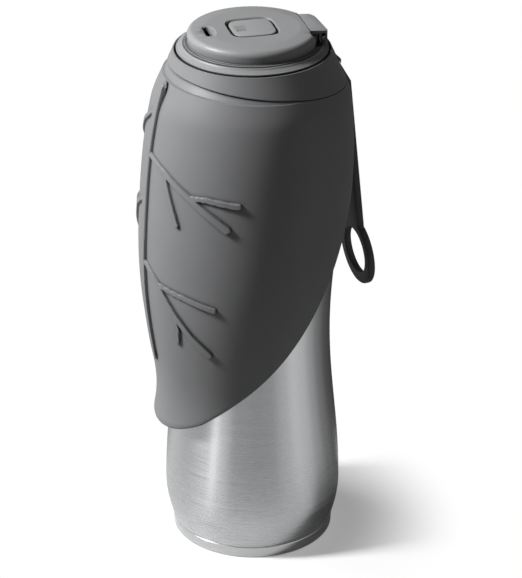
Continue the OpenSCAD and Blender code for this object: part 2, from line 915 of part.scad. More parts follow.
// Square push button with a skirt, a boss for the stem, snap hooks and three grip ribs
module push_button() {
    corner = button_corner - button_gap;
    color("gray")
        lid_place()
            union() {
                difference() {
                    translate([0, 0, hook_z])
                        linear_extrude(cover_top_z - hook_z)
                            round_square(button_w, corner);
                    translate([0, 0, hook_z - 1])
                        linear_extrude(button_in_z - hook_z + 1)
                            round_square(button_w - 2 * button_t, corner - button_t);
                    difference() {
                        translate([0, 0, groove_z])
                            linear_extrude(groove_h)
                                round_square(button_w + 4, button_corner);
                        translate([0, 0, groove_z - 1])
                            linear_extrude(groove_h + 2)
                                round_square(button_w - 2 * groove_t, corner - groove_t);
                    }
                }
                translate([0, 0, boss_z])
                    cylinder(r = boss_r, h = button_in_z - boss_z + sink);
                for (a = [0, 90, 180, 270])
                    rotate([0, 0, a])
                        translate([button_w / 2 - sink, -hook_w / 2, hook_z])
                            cube([button_gap + sink + 0.4, hook_w, hook_h]);
                for (k = [-1 : 1])
                    translate([-rib_len / 2, -button_w * 0.3 + k * rib_step, cover_top_z - sink])
                        cube([rib_len, rib_w, sink + rib_h]);
            }
}

// Silicone ring in the groove of the button's skirt
module button_seal() {
    color("whitesmoke")
        lid_place()
            translate([0, 0, groove_z + touch])
                linear_extrude(groove_h - 2 * touch)
                    difference() {
                        round_square(guide_w - 2 * seal_gap, button_corner - seal_gap);
                        round_square(button_w - 2 * (groove_t - touch), button_corner - button_gap - groove_t);
                    }
}

// ---- valve ----

// Rod that the button pushes down
module valve_stem() {
    color("darkgray")
        difference() {
            translate([0, 0, stem_z])
                cylinder(r = stem_r, h = stem_top_z - stem_z);
            ring(clip_neck_r, stem_r + 1, plate_z - clip_t, plate_z);
            ring(stem_r - 0.5, stem_r + 1, cap_z + 0.4, cap_z + 1);
        }
}

// Plate that carries the valve's seal
module valve_plate() {
    color("darkgray")
        ring(stem_r + touch, plate_r, plate_z, plate_top_z - touch);
}

// Silicone washer that closes the water hole from below
module valve_seal() {
    color("whitesmoke")
        ring(stem_r + touch, plate_r + 0.5, plate_top_z, seal_top_z);
}

// Disc that the spring lifts, snapped on the stem
module spring_cap() {
    color("darkgray")
        difference() {
            union() {
                ring(stem_r + touch, cap_r, cap_z, cap_z + cap_t);
                ring(stem_r - 0.4, stem_r + 1, cap_z + 0.4 + touch, cap_z + 1 - touch);
            }
        }
}

// Split clip that holds the plate on the stem
module stem_clip() {
    color("silver")
        difference() {
            ring(clip_neck_r + touch, stem_r + 2, plate_z - clip_t + touch, plate_z - touch);
            translate([0, -clip_neck_r * 0.7, plate_z - 3])
                cube([10, clip_neck_r * 1.4, 4]);
        }
}

outer_shell();
inner_flask();
base_cap();
vacuum_plug();
neck_ring();
cup_collar();
strap_bar();
leaf_cup();
carry_strap();
lid_gasket();
lid_base();
stem_guide();
hinge_pin();
vent_valve();
valve_spring();
dome_cover();
dome_seal();
push_button();
button_seal();
valve_stem();
valve_plate();
valve_seal();
spring_cap();
stem_clip();
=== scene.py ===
import math

import bpy
import numpy as np
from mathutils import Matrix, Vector


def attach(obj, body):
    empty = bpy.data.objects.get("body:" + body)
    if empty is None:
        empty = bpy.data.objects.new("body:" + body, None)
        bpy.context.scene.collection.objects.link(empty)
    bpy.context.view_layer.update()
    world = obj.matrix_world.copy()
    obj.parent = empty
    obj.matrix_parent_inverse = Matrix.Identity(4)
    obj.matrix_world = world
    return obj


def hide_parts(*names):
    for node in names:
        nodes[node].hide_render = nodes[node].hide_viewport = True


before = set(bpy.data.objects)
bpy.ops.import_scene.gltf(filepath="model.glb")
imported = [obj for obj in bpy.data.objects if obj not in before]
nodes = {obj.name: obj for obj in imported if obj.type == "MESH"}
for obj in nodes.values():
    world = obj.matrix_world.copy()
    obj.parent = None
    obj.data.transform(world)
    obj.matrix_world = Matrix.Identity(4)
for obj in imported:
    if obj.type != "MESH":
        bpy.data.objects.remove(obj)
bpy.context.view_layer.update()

# A steel travel bottle with a leaf-shaped silicone cup. The leaf's midrib faces -Y, the strap hangs at +Y.
# Sizes are in millimetres, as a maker would write them, and MM brings them to the frame's metres.
MM = 0.001

# ---- sizes ----

# Bottle
BAND_R, BAND_H, BAND_PLAY, BAND_FLOOR_Z, BAND_PAN_R, BAND_PAN_Z = 38.0, 5.55, 0.1, 2.5, 34.9, 1
FOOT_RING_R, FOOT_RING_H = 30.5, 0.5
BELLY_R, BELLY_Z, BELLY_FOOT_Z = 41.3, 24.0, 5.6
WAIST_R, WAIST_Z = 36.2, 106.0
SHOULDER_R, SHOULDER_Z, SHOULDER_RISE = 42.0, 192.0, 40.0
NECK_R, RIM_Z, STEEL_T = 33.0, 242.5, 0.8
SPIGOT_R, SPIGOT_TOP_Z, FLOOR_Z, WALL_LOW_Z = 36.8, 5.5, 2.6, 5.9
WALL_SEAM = [(BAND_R - 0.6, 5.58), (BAND_R - 0.12, 5.68)]
WALL_ROWS, SHOULDER_ROWS = 110, 20

# Leaf. Its axis leans by LEAF_TILT about LEAF_PIVOT, which is (y, z)
LEAF_PIVOT = (1.0, 234.0)
LEAF_TILT = math.radians(4.1)
LEAF_TOP_R, LEAF_MAX_R, LEAF_MAX_Z, LEAF_TIP_R = 40.4, 48.3, 178.0, 33.8
LEAF_FULLNESS, LEAF_TAPER = 0.62, 1.5
LIP_FLARE, LIP_Z, LIP_SPAN, LIP_ROOM, LIP_DEPTH = 2.2, 85.0, 23.0, 1.0, 1.3
LEAF_T, LEAF_LEAST_T, CUP_GAP = 3.0, 0.7, 0.3
THIN_FROM, THIN_SPAN, THIN_BY = 0.93, 0.07, 0.5
TIP_Z = 59.0
EDGE_CONTROL = ((-47.5, 59.0), (-14.0, 95.0), (6.0, 95.0), (46.0, 190.0))
TIP_Y, TIP_EDGE_Z, TIP_RISE, TIP_POWER = -48.5, 62.6, 0.5, 1.1
SEARCH_LOW_Z, SEARCH_HIGH_Z, SURFACE_HALVINGS, CURVE_HALVINGS = 50.0, 246.0, 36, 40
LEAF_ROWS, LEAF_INNER_ROWS, LIP_STEPS = 84, 60, 8

# Collar, fold line, and the ledge and recessed band under it. Fades are in degrees from the midrib
COLLAR_TOP_Z, COLLAR_TOP_R, COLLAR_FLARE, COLLAR_T = 243.8, 35.45, 0.44, 2.4
FOLD_Z, FOLD_TILT, FOLD_GAP, FOLD_START_R, FOLD_ROUNDS = 232.9, math.radians(7.4), 0.1, 41.0, 12
LEDGE_Z, LEDGE_FALL, LEDGE_OUT, LEDGE_STEP, LEDGE_LEAST = 232.1, 0.038, 0.45, 0.25, 0.4
LEDGE_FADE, BAND_FADE, LIP_FADE = (80, 112), (70, 128), (95, 140)
CAP_BLEND, BAND_RECESS, BAND_LEAST, BAND_FULL = 0.8, 1.3, 0.05, 4
LEDGE_CUT, LEDGE_SHARE = LEDGE_OUT + 0.2, 0.09
RECESS_STEP, RECESS_SHARE, RECESS_SLOPE = 0.3, 0.1, 0.7
BAND_STEPS = (0.02, 0.045, 0.075, 0.11, 0.18, 0.27, 0.38, 0.5, 0.62, 0.74, 0.85, 0.94, 1.0)
COLLAR_LIP, COLLAR_LIP_LEAST, COLLAR_UNDER = 0.32, 0.04, 0.02
COLLAR_MOUTH_R, COLLAR_EDGE, COLLAR_DIP = 34.95, 0.25, 0.25
COLLAR_ROWS, COLLAR_ARC = 20, 6
LID_ROOM_R, LID_ROOM_Z, MOUTH_LOW_Z, MOUTH_CHAMFER, MOUTH_DROP = 35.4, 242.5, 242.7, 0.06, 0.2
NECK_RING_TOP, NECK_RING_R, NECK_RING_MID_Z, NECK_RING_Z = 241.0, 35.25, 238.0, 232.55
POCKET_Y, POCKET_OUT_Y, POCKET_LOW_Z, POCKET_TOP_Z, POCKET_PLAY = 34.9, 60, 215, 237.1, 0.5

# Strap
STRAP_W, STRAP_T, STRAP_LEAN, STRAP_ROUND = 14.0, 3.4, 0.105, 0.9
BAR_Y, BAR_Z, BAR_R, EYE_WALL, EYE_PLAY = 37.8, 233.6, 1.3, 1.3, 0.08
BEND_Y, BEND_Z = 44.0, 223.0
RING_R, RING_HOLE_R, RING_Z, RING_STEPS, HOLE_STEPS, HOLE_REACH = 16.5, 10.9, 134.0, 48, 64, 10
STRAP_CUTS = (BEND_Z, BEND_Z + 3, BEND_Z - 3, 200, 175, 152)
CHANNEL_PLAY, CHANNEL_SIDE_PLAY, CHANNEL_TOP_Z, CHANNEL_OUT_Y = 0.3, 1, 245, 70

# Lid. RIM_OUTLINE is (radius, height, fillet): the raised edge, the slope, the flat under the cover
LID_TURN = math.radians(-8.0)
FLANGE_R = 33.9
RIM_OUTLINE = [(33.0, 243.1, 0), (FLANGE_R + 0.25, 243.1, 0.15), (FLANGE_R + 0.3, 244.42, 0.3),
               (33.5, 244.5, 0.3), (32.7, 244.75, 0.5), (31.9, 245.5, 0.6), (31.5, 246.2, 0.3),
               (28.6, 246.2, 0), (28.6, 245.4, 0)]
FOOT_Z, FOOT_R, FOOT_H, COVER_R, COVER_TOP_Z = 246.3, 30.5, 0.5, 29.5, 253.35
CROWN_R, CROWN_DROP = 21.5, 0.8
COVER_IN_R, COVER_IN_Z = 28.0, 251.1
TAB_X, TAB_IN_Y, TAB_OUT_Y, TAB_LOW_Z, TAB_TOP_Z = 12.5, 24.0, 33.9, 246.75, 252.9
TAB_ROOT_Y, TAB_SIDE_Y, TAB_CORNER, TAB_GAP = 14.0, 31.6, 7.0, 1.8
TAB_UNDER = (-1.4, 1.6)                                 # ends of the tab's flat underside, from HINGE_Y
NOTCH_Y, NOTCH_W = 23.4, 1.9
TAB_RECESSES = ((4.0, -2.5, -0.7), (3.0, -6.0, -3.6))   # depth, start and end from TAB_SIDE_Y
RECESS_ROOF = 1.2
HINGE_Y, HINGE_Z, KNUCKLE_R = 30.4, 249.4, 2.9
PIN_R, PIN_PLAY, LUG_X, LUG_PLAY = 1.1, 0.06, 9.4, 1.2
SLOT_X, SLOT_Y, SLOT_D = 5.5, -20.6, 2.8
DISH_SIZE, DISH_SHIFT_Y, DISH_SHIFT_Z = (7.0, 3.4, 0.7), 0.5, 0.1
GUIDE_W, GUIDE_T, GUIDE_Z, WINDOW_EDGE = 21.3, 1.3, 247.7, 0.7
BUTTON_W, BUTTON_T, BUTTON_DROP, SKIRT_Z = 19.7, 1.6, 0.05, 246.6
STEM_BOSS_R, STEM_BOSS_Z, BOSS_SUNK = 3.0, 248.1, 0.5
RIB_X, RIB_LOW_Y, RIB_HIGH_Y, RIB_STEP, RIB_SUNK, RIB_H = 3, -6.0, -5.4, 1.6, 0.4, 0.22
TAB_ROUND, SLOT_ROUND, COVER_ROUND, BUTTON_ROUND, RIB_ROUND = 0.5, 0.7, 0.14, 0.7, 0.12

# Ends of the cuts that pass right through the lid
CLEAR_LOW_Z, CLEAR_HIGH_Z, CLEAR_Y = 240, 256, 40


# ---- small tools ----

ON_AXIS = 1e-6        # a smaller radius lies on the axis
FILLET_SHARE = 0.49   # most of a side that one fillet takes
FINE_WELD = 2e-7      # metres, for a mesh with small bevels


def deselect():
    """Leaves edit mode and drops the selection."""
    if bpy.context.object and bpy.context.object.mode != "OBJECT":
        bpy.ops.object.mode_set(mode="OBJECT")
    bpy.ops.object.select_all(action="DESELECT")


def pick(obj):
    """Makes one object the only selected one."""
    deselect()
    obj.select_set(True)
    bpy.context.view_layer.objects.active = obj


def edit(obj):
    """Opens one object for editing, with all of its mesh selected."""
    pick(obj)
    bpy.ops.object.mode_set(mode="EDIT")
    bpy.ops.mesh.select_all(action="SELECT")


def settle(obj):
    """Puts the object's place into its mesh."""
    pick(obj)
    bpy.ops.object.transform_apply(location=True, rotation=True, scale=True)


def weld(obj, distance=1e-6):
    """Merges doubled points and turns every face outwards."""
    edit(obj)
    bpy.ops.mesh.remove_doubles(threshold=distance)
    bpy.ops.mesh.normals_make_consistent(inside=False)
    bpy.ops.object.mode_set(mode="OBJECT")


def apply(obj, modifier):
    """Makes a modifier's result the mesh."""
    pick(obj)
    bpy.ops.object.modifier_apply(modifier=modifier.name)


def round_edges(obj, width, segments=2, angle=40):
    """Bevels every edge sharper than an angle."""
    bevel = obj.modifiers.new("round", "BEVEL")
    bevel.width = width * MM
    bevel.segments = segments
    bevel.limit_method = "ANGLE"
    bevel.angle_limit = math.radians(angle)
    bevel.use_clamp_overlap = True
    apply(obj, bevel)


def cut(obj, cutter, operation="DIFFERENCE"):
    """Cuts one piece with another, or joins them, and removes the cutter."""
    boolean = obj.modifiers.new("cut", "BOOLEAN")
    boolean.operation = operation
    boolean.object = cutter
    boolean.solver = "EXACT"
    apply(obj, boolean)
    bpy.data.objects.remove(cutter)


def smooth(obj, angle=35):
    """Shades a piece smooth across every edge flatter than an angle."""
    pick(obj)
    bpy.ops.object.shade_smooth_by_angle(angle=math.radians(angle))


def turn_lid(obj):
    """Turns a piece of the lid to where the lid comes to rest."""
    pick(obj)
    obj.rotation_euler = (0, 0, LID_TURN)
    bpy.ops.object.transform_apply(location=False, rotation=True, scale=False)


def place_points(obj, places):
    """Moves the points of a mesh, in their order, to places in millimetres."""
    obj.data.vertices.foreach_set("co", (places.reshape(-1) * MM).astype(np.float32))


def rounded(corners, steps=6, closed=False):
    """Outline through corners (radius, height, fillet), each corner that has a fillet drawn as an arc."""
    points = []
    count = len(corners)
    for i, (r, z, fillet) in enumerate(corners):
        if fillet <= 0 or (not closed and i in (0, count - 1)):
            points.append((r, z))
            continue
        here = Vector((r, z))
        before = Vector(corners[i - 1][:2]) - here
        after = Vector(corners[(i + 1) % count][:2]) - here
        half = before.angle(after) / 2
        reach = min(fillet / math.tan(half), before.length * FILLET_SHARE, after.length * FILLET_SHARE)
        start = here + before.normalized() * reach
        end = here + after.normalized() * reach
        inwards = (before.normalized() + after.normalized()).normalized()
        centre = here + inwards * (reach / math.cos(half))
        a = math.atan2(start.y - centre.y, start.x - centre.x)
        sweep = math.atan2(end.y - centre.y, end.x - centre.x) - a
        sweep = (sweep + math.pi) % (2 * math.pi) - math.pi
        radius = (start - centre).length
        for k in range(steps + 1):
            angle = a + sweep * k / steps
            points.append((centre.x + radius * math.cos(angle), centre.y + radius * math.sin(angle)))
    if closed:
        points.append(points[0])
    return points


def turned(name, outline, around=144):
    """A piece turned on a lathe: a circle drawn from point to point of an outline of (radius, height)."""
    open_start = outline[0][0] > ON_AXIS
    first = outline[0] if open_start else outline[1]
    deselect()
    bpy.ops.mesh.primitive_circle_add(vertices=around, radius=first[0] * MM, location=(0, 0, 0),
                                      fill_type="NOTHING" if open_start else "TRIFAN")
    obj = bpy.context.object
    obj.name = name
    edit(obj)
    bpy.ops.transform.translate(value=(0, 0, first[1] * MM))
    if not open_start:
        bpy.ops.mesh.select_all(action="DESELECT")
        bpy.ops.mesh.select_non_manifold(extend=False, use_boundary=True)
    r, z = first
    for r_next, z_next in outline[1 if open_start else 2:]:
        bpy.ops.mesh.extrude_edges_move(TRANSFORM_OT_translate={"value": (0, 0, (z_next - z) * MM)})
        if r_next <= ON_AXIS:
            bpy.ops.mesh.merge(type="CENTER")
            break
        scale = r_next / r
        bpy.ops.transform.resize(value=(scale, scale, 1), center_override=(0, 0, z_next * MM))
        r, z = r_next, z_next
    weld(obj)
    return obj


def wrapped(name, section, around):
    """A ring whose cross-section changes round it: a grid bent so that each row follows section(angle)."""
    rings = [np.array(section(2 * math.pi * (i / around - 0.5))) for i in range(around + 1)]
    rings[-1] = rings[0]
    deselect()
    bpy.ops.mesh.primitive_grid_add(x_subdivisions=around, y_subdivisions=len(rings[0]), size=1)
    obj = bpy.context.object
    obj.name = name
    closed = np.array([np.vstack([ring, ring[:1]]) for ring in rings])
    place_points(obj, closed.transpose(1, 0, 2))
    weld(obj)
    return obj


def block(name, low, high):
    """Rectangular block between two corners, in millimetres."""
    deselect()
    bpy.ops.mesh.primitive_cube_add(size=1)
    obj = bpy.context.object
    obj.name = name
    low, high = Vector(low) * MM, Vector(high) * MM
    obj.location = (low + high) / 2
    obj.scale = high - low
    settle(obj)
    return obj


def plate(name, outline, low, high, axis="X"):
    """Flat outline drawn in the plane across an axis and carried along it from low to high."""
    deselect()
    bpy.ops.mesh.primitive_circle_add(vertices=len(outline), radius=MM, fill_type="NGON")
    obj = bpy.context.object
    obj.name = name
    place = {"X": lambda a, b, along: (along, a, b),
             "Y": lambda a, b, along: (a, along, b),
             "Z": lambda a, b, along: (a, b, along)}[axis]
    for vertex, (a, b) in zip(obj.data.vertices, outline):
        vertex.co = Vector(place(a, b, low)) * MM
    edit(obj)
    bpy.ops.mesh.extrude_region_move(
        TRANSFORM_OT_translate={"value": Vector(place(0, 0, high - low)) * MM})
    weld(obj)
    return obj


def rod(name, radius, y, z, low_x, high_x, around=48):
    """Round bar along X."""
    deselect()
    bpy.ops.mesh.primitive_cylinder_add(vertices=around, radius=radius * MM, depth=(high_x - low_x) * MM,
                                        location=((low_x + high_x) / 2 * MM, y * MM, z * MM),
                                        rotation=(0, math.pi / 2, 0))
    obj = bpy.context.object
    obj.name = name
    settle(obj)
    return obj


def squircle(width, power=4.2, steps=96):
    """Outline of a square with bowed sides and round corners."""
    points = []
    for k in range(steps):
        a = 2 * math.pi * k / steps
        c, s = math.cos(a), math.sin(a)
        reach = (abs(c) ** power + abs(s) ** power) ** (-1 / power)
        points.append((width / 2 * reach * c, width / 2 * reach * s))
    return points


# ---- shapes shared by the pieces ----

def ease(u):
    """Smooth step from 0 to 1."""
    u = min(max(u, 0.0), 1.0)
    return (1 - math.cos(math.pi * u)) / 2


def fade(angle, start, end):
    """1 towards the front, 0 beyond end, in degrees from the midrib."""
    return 1 - ease((abs(math.degrees(angle)) - start) / (end - start))


def bezier(controls, t, part):
    """One coordinate of the curve through four control points, at t from 0 to 1."""
    a, b, c, d = [control[part] for control in controls]
    return (1 - t) ** 3 * a + 3 * (1 - t) ** 2 * t * b + 3 * (1 - t) * t * t * c + t ** 3 * d


def body_r(z):
    """Radius of the steel body at a height."""
    if z < BELLY_Z:
        turn = math.pi / 2 * max(0, z - BELLY_FOOT_Z) / (BELLY_Z - BELLY_FOOT_Z)
        return BAND_R + (BELLY_R - BAND_R) * math.sin(turn)
    if z < WAIST_Z:
        return BELLY_R + (WAIST_R - BELLY_R) * ease((z - BELLY_Z) / (WAIST_Z - BELLY_Z))
    if z < SHOULDER_Z:
        return WAIST_R + (SHOULDER_R - WAIST_R) * ease((z - WAIST_Z) / (SHOULDER_Z - WAIST_Z))
    if z < SHOULDER_Z + SHOULDER_RISE:
        rise = (z - SHOULDER_Z) / SHOULDER_RISE
        return NECK_R + (SHOULDER_R - NECK_R) * math.sqrt(max(0, 1 - rise ** 2))
    return NECK_R


def leaf_r(z):
    """Radius of the leaf at a height on its own leaning axis."""
    if z > LEAF_MAX_Z:
        rise = (z - LEAF_MAX_Z) / (LEAF_PIVOT[1] - LEAF_MAX_Z)
        return LEAF_TOP_R + (LEAF_MAX_R - LEAF_TOP_R) * max(0, 1 - rise ** 2) ** LEAF_FULLNESS
    drop = (LEAF_MAX_Z - z) / (LEAF_MAX_Z - TIP_Z)
    flare = LIP_FLARE * (max(0, LIP_Z - z) / LIP_SPAN) ** 2
    return LEAF_TIP_R + (LEAF_MAX_R - LEAF_TIP_R) * (1 - ease(drop ** LEAF_TAPER)) + flare


def cone_r(z):
    """Radius of the collar's cone."""
    return COLLAR_TOP_R + COLLAR_FLARE * (COLLAR_TOP_Z - z)


def leaf_point(angle, z):
    """Point of the leaf's outer surface at an angle from the midrib and a height on its own axis."""
    r = leaf_r(z)
    x, y, h = r * math.sin(angle), -r * math.cos(angle), z - LEAF_PIVOT[1]
    c, s = math.cos(LEAF_TILT), math.sin(LEAF_TILT)
    y, h = y * c + h * s, -y * s + h * c
    y, h = y + LEAF_PIVOT[0], h + LEAF_PIVOT[1]
    rho = math.hypot(x, y)
    cap = cone_r(h) + LEDGE_OUT * fade(angle, *LEDGE_FADE)
    if rho > cap - CAP_BLEND:
        over = max(CAP_BLEND - abs(rho - cap), 0) / CAP_BLEND
        rho_new = min(rho, cap) - over * over * CAP_BLEND / 4
        x, y = x * rho_new / rho, y * rho_new / rho
    return (x, y, h)


def fold_height(y):
    """Height of the fold line where the surface is at y."""
    return FOLD_Z - math.tan(FOLD_TILT) * y


def ledge_height(y):
    """Height of the ledge where the surface is at y."""
    return LEDGE_Z - LEDGE_FALL * y


def edge_height(y):
    """Height of the leaf's lower edge where the surface is at y."""
    low, high = 0.0, 1.0
    for _ in range(CURVE_HALVINGS):
        t = (low + high) / 2
        if bezier(EDGE_CONTROL, t, 0) < y:
            low = t
        else:
            high = t
    return max(bezier(EDGE_CONTROL, t, 1), TIP_EDGE_Z + TIP_RISE * max(0, y - TIP_Y) ** TIP_POWER)


def solve_height(angle, wanted):
    """Height on the leaf's axis at which the surface point meets wanted(y)."""
    low, high = SEARCH_LOW_Z, SEARCH_HIGH_Z
    for _ in range(SURFACE_HALVINGS):
        z = (low + high) / 2
        x, y, h = leaf_point(angle, z)
        if h < wanted(y):
            low = z
        else:
            high = z
    return z


# ---- materials ----

# Names and kinds of what a surface group gives to a material
SURFACE = (("Color", "Color"), ("Roughness", "Float"), ("Normal", "Vector"))
# Scratches in the steel: noise stretched round the bottle, by X, Y and Z
FINE_SCRATCHES, WIDE_SCRATCHES = (22.0, 22.0, 2600.0), (9.0, 9.0, 420.0)
WIDE_SHARE, SCRATCH_MEAN, SCRATCH_ROUGHNESS, SCRATCH_BUMP = 0.45, 0.725, 0.25, 0.00002
# Mottling and grain of silicone and plastic, and the shade painted into nooks: how dark it gets between deep
# and open
MOTTLE_RANGE, GRAIN_ROUGHNESS, GRAIN_BUMP = (0.3, 0.7), 0.1, 0.00005
PAINTED_SHADE_RANGE, PAINTED_SHADE_DARKEST = (0.50, 0.94), 0.08


def grey(tone):
    """Grey of one tone, opaque."""
    return (tone, tone, tone, 1)


def new_material(name):
    """New material, with its tree and its shader."""
    material = bpy.data.materials.new(name)
    material.use_nodes = True
    tree = material.node_tree
    return material, tree, tree.nodes["Principled BSDF"]


def feed(tree, made, feeds):
    """Gives inputs of a node, by name or place, a value or a socket to come from."""
    for key, value in feeds.items():
        if isinstance(value, bpy.types.NodeSocket):
            tree.links.new(value, made.inputs[key])
        else:
            made.inputs[key].default_value = value


def node(tree, kind, feeds=None, **settings):
    """Adds a node with its settings and feeds its inputs."""
    made = tree.nodes.new(kind)
    for key, value in settings.items():
        setattr(made, key, value)
    feed(tree, made, feeds or {})
    return made


def maths(tree, operation, *terms):
    """Result of one operation on sockets and numbers."""
    return node(tree, "ShaderNodeMath", dict(enumerate(terms)), operation=operation).outputs[0]


def scaled(tree, colour, factor):
    """A colour times a factor."""
    made = node(tree, "ShaderNodeVectorMath", {0: colour, "Scale": factor}, operation="SCALE")
    return made.outputs["Vector"]


def ranged(tree, value, start=0.0, end=1.0, low=0.0, high=1.0, kind="LINEAR"):
    """A value brought from start..end to low..high, and held there outside."""
    feeds = {"Value": value, "From Min": start, "From Max": end, "To Min": low, "To Max": high}
    return node(tree, "ShaderNodeMapRange", feeds, interpolation_type=kind).outputs["Result"]


def mixed(tree, factor, first, second):
    """Colour from the first at 0 to the second at 1."""
    return node(tree, "ShaderNodeMix", {0: factor, 6: first, 7: second}, data_type="RGBA").outputs[2]


def mixed_shader(tree, factor, first, second):
    """Shader from the first at 0 to the second at 1."""
    return node(tree, "ShaderNodeMixShader", {0: factor, 1: first, 2: second}).outputs[0]


def glow(tree, colour):
    """Shader that shows a colour as it is."""
    return node(tree, "ShaderNodeEmission", {"Color": colour, "Strength": 1.0}).outputs[0]


def new_group(name, inputs, outputs):
    """New node group: its tree, what comes into it and the node that its results go to."""
    tree = bpy.data.node_groups.new(name, "ShaderNodeTree")
    for label, kind, default in inputs:
        socket = tree.interface.new_socket(name=label, in_out="INPUT", socket_type="NodeSocket" + kind)
        if default is not None:
            socket.default_value = default
    for label, kind in outputs:
        tree.interface.new_socket(name=label, in_out="OUTPUT", socket_type="NodeSocket" + kind)
    return tree, node(tree, "NodeGroupInput").outputs, node(tree, "NodeGroupOutput")


def make_moulded_group():
    """Moulded silicone or plastic: faint mottling, fine grain, and shade painted into its nooks."""
    tree, given, end = new_group("moulded_surface", (
        ("Color", "Color", grey(0.25)), ("Mottle", "Float", 0.05), ("Grain Size", "Float", 0.35),
        ("Grain Depth", "Float", 0.2), ("Roughness", "Float", 0.5), ("Painted Shade Reach", "Float", 0.002)), SURFACE)
    place = node(tree, "ShaderNodeTexCoord").outputs["Object"]
    cloud = node(tree, "ShaderNodeTexNoise", {"Vector": place, "Scale": 38.0, "Detail": 4.0,
                                              "Roughness": 0.6})
    least = maths(tree, "SUBTRACT", 1.0, given["Mottle"])
    most = maths(tree, "ADD", 1.0, given["Mottle"])
    tint = scaled(tree, given["Color"], ranged(tree, cloud.outputs["Fac"], *MOTTLE_RANGE, least, most))
    # Ambient occlusion darkens the colour in nooks, creases and at the feet of the veins: painted shade
    painted_nook_shade = node(tree, "ShaderNodeAmbientOcclusion", {"Distance": given["Painted Shade Reach"]}, samples=8)
    shaded = scaled(tree, tint, ranged(tree, painted_nook_shade.outputs["AO"], *PAINTED_SHADE_RANGE, low=PAINTED_SHADE_DARKEST))
    size = maths(tree, "DIVIDE", 1000.0, given["Grain Size"])
    grain = node(tree, "ShaderNodeTexNoise", {"Vector": place, "Scale": size, "Detail": 2.0}).outputs["Fac"]
    bump = node(tree, "ShaderNodeBump", {"Height": grain, "Strength": given["Grain Depth"],
                                         "Distance": GRAIN_BUMP})
    rough = maths(tree, "MULTIPLY_ADD", grain, GRAIN_ROUGHNESS, given["Roughness"])
    feed(tree, end, {"Color": shaded, "Roughness": rough, "Normal": bump.outputs["Normal"]})
    return tree


def make_brushed_group():
    """Steel brushed round the bottle: long fine scratches that run level, with a few heavier ones."""
    tree, given, end = new_group("brushed_round", (
        ("Color", "Color", grey(0.7)), ("Contrast", "Float", 0.1), ("Roughness", "Float", 0.3),
        ("Depth", "Float", 0.2)), SURFACE)
    place = node(tree, "ShaderNodeTexCoord").outputs["Object"]

    def scratches(stretch, feeds):
        """Noise stretched by X, Y and Z."""
        vector = node(tree, "ShaderNodeMapping", {"Vector": place, "Scale": stretch}).outputs["Vector"]
        return node(tree, "ShaderNodeTexNoise", {"Vector": vector, "Scale": 1.0, **feeds}).outputs["Fac"]

    fine = scratches(FINE_SCRATCHES, {"Detail": 3.0, "Roughness": 0.7})
    wide = scratches(WIDE_SCRATCHES, {"Detail": 2.0})
    both = maths(tree, "MULTIPLY_ADD", wide, WIDE_SHARE, fine)
    centred = maths(tree, "SUBTRACT", both, SCRATCH_MEAN)
    shade = maths(tree, "MULTIPLY_ADD", centred, given["Contrast"], 1.0)
    bump = node(tree, "ShaderNodeBump", {"Height": both, "Strength": given["Depth"],
                                         "Distance": SCRATCH_BUMP})
    rough = maths(tree, "MULTIPLY_ADD", centred, SCRATCH_ROUGHNESS, given["Roughness"])
    feed(tree, end, {"Color": scaled(tree, given["Color"], shade), "Roughness": rough,
                     "Normal": bump.outputs["Normal"]})
    return tree


moulded_group = make_moulded_group()
brushed_group = make_brushed_group()


def link_group(tree, shader, group, values):
    """Puts a surface group in front of a shader."""
    made = node(tree, "ShaderNodeGroup", values, node_tree=group)
    feed(tree, shader, {"Base Color": made.outputs["Color"], "Roughness": made.outputs["Roughness"],
                        "Normal": made.outputs["Normal"]})


def moulded(name, tone, roughness, mottle=0.04, grain=0.35, depth=0.2, specular=0.5, painted_nook_shade=2.2):
    """Silicone or plastic of one grey tone, with shade painted into its nooks. Grain and the reach of the
    painted nook shade are in millimetres.
    """
    material, tree, shader = new_material(name)
    link_group(tree, shader, moulded_group, {
        "Color": (*tone, 1), "Mottle": mottle, "Grain Size": grain, "Grain Depth": depth,
        "Roughness": roughness, "Painted Shade Reach": painted_nook_shade * MM})
    feed(tree, shader, {"Specular IOR Level": specular})
    return material


def brushed(name, tone, roughness, contrast, depth, anisotropy):
    """Steel brushed round the Z axis."""
    material, tree, shader = new_material(name)
    link_group(tree, shader, brushed_group, {
        "Color": (*tone, 1), "Contrast": contrast, "Roughness": roughness, "Depth": depth})
    tangent = node(tree, "ShaderNodeTangent", direction_type="RADIAL", axis="Z")
    feed(tree, shader, {"Metallic": 1.0, "Anisotropic": anisotropy, "Anisotropic Rotation": 0.25,
                        "Tangent": tangent.outputs["Tangent"]})
    return material


silicone = moulded("grey_silicone", (0.175, 0.177, 0.181), 0.42, mottle=0.03, depth=0.15, specular=0.33)
# The strap is the cup's grey silicone; its much darker tone is painted shade
shaded_strap_silicone = moulded("strap_silicone_with_painted_shade", (0.044, 0.044, 0.046), 0.45, specular=0.36)
lid_plastic = moulded("textured_lid_plastic", (0.236, 0.238, 0.242), 0.38, mottle=0.02, grain=0.5, depth=0.3,
                      specular=0.38, painted_nook_shade=5.5)
button_plastic = moulded("button_plastic", (0.265, 0.267, 0.271), 0.42, mottle=0.02, grain=0.4,
                         specular=0.35)
dark_plastic = moulded("dark_plastic", (0.035, 0.035, 0.037), 0.45)
seal_silicone = moulded("pale_seal_silicone", (0.62, 0.62, 0.60), 0.45)
bottle_steel = brushed("brushed_bottle_steel", (0.625, 0.632, 0.642), 0.27, 0.16, 0.12, anisotropy=0.85)
band_steel = brushed("brushed_band_steel", (0.66, 0.665, 0.67), 0.24, 0.1, 0.08, anisotropy=0.7)
inner_steel = brushed("inner_steel", (0.66, 0.66, 0.655), 0.28, 0.1, 0.05, anisotropy=0.5)
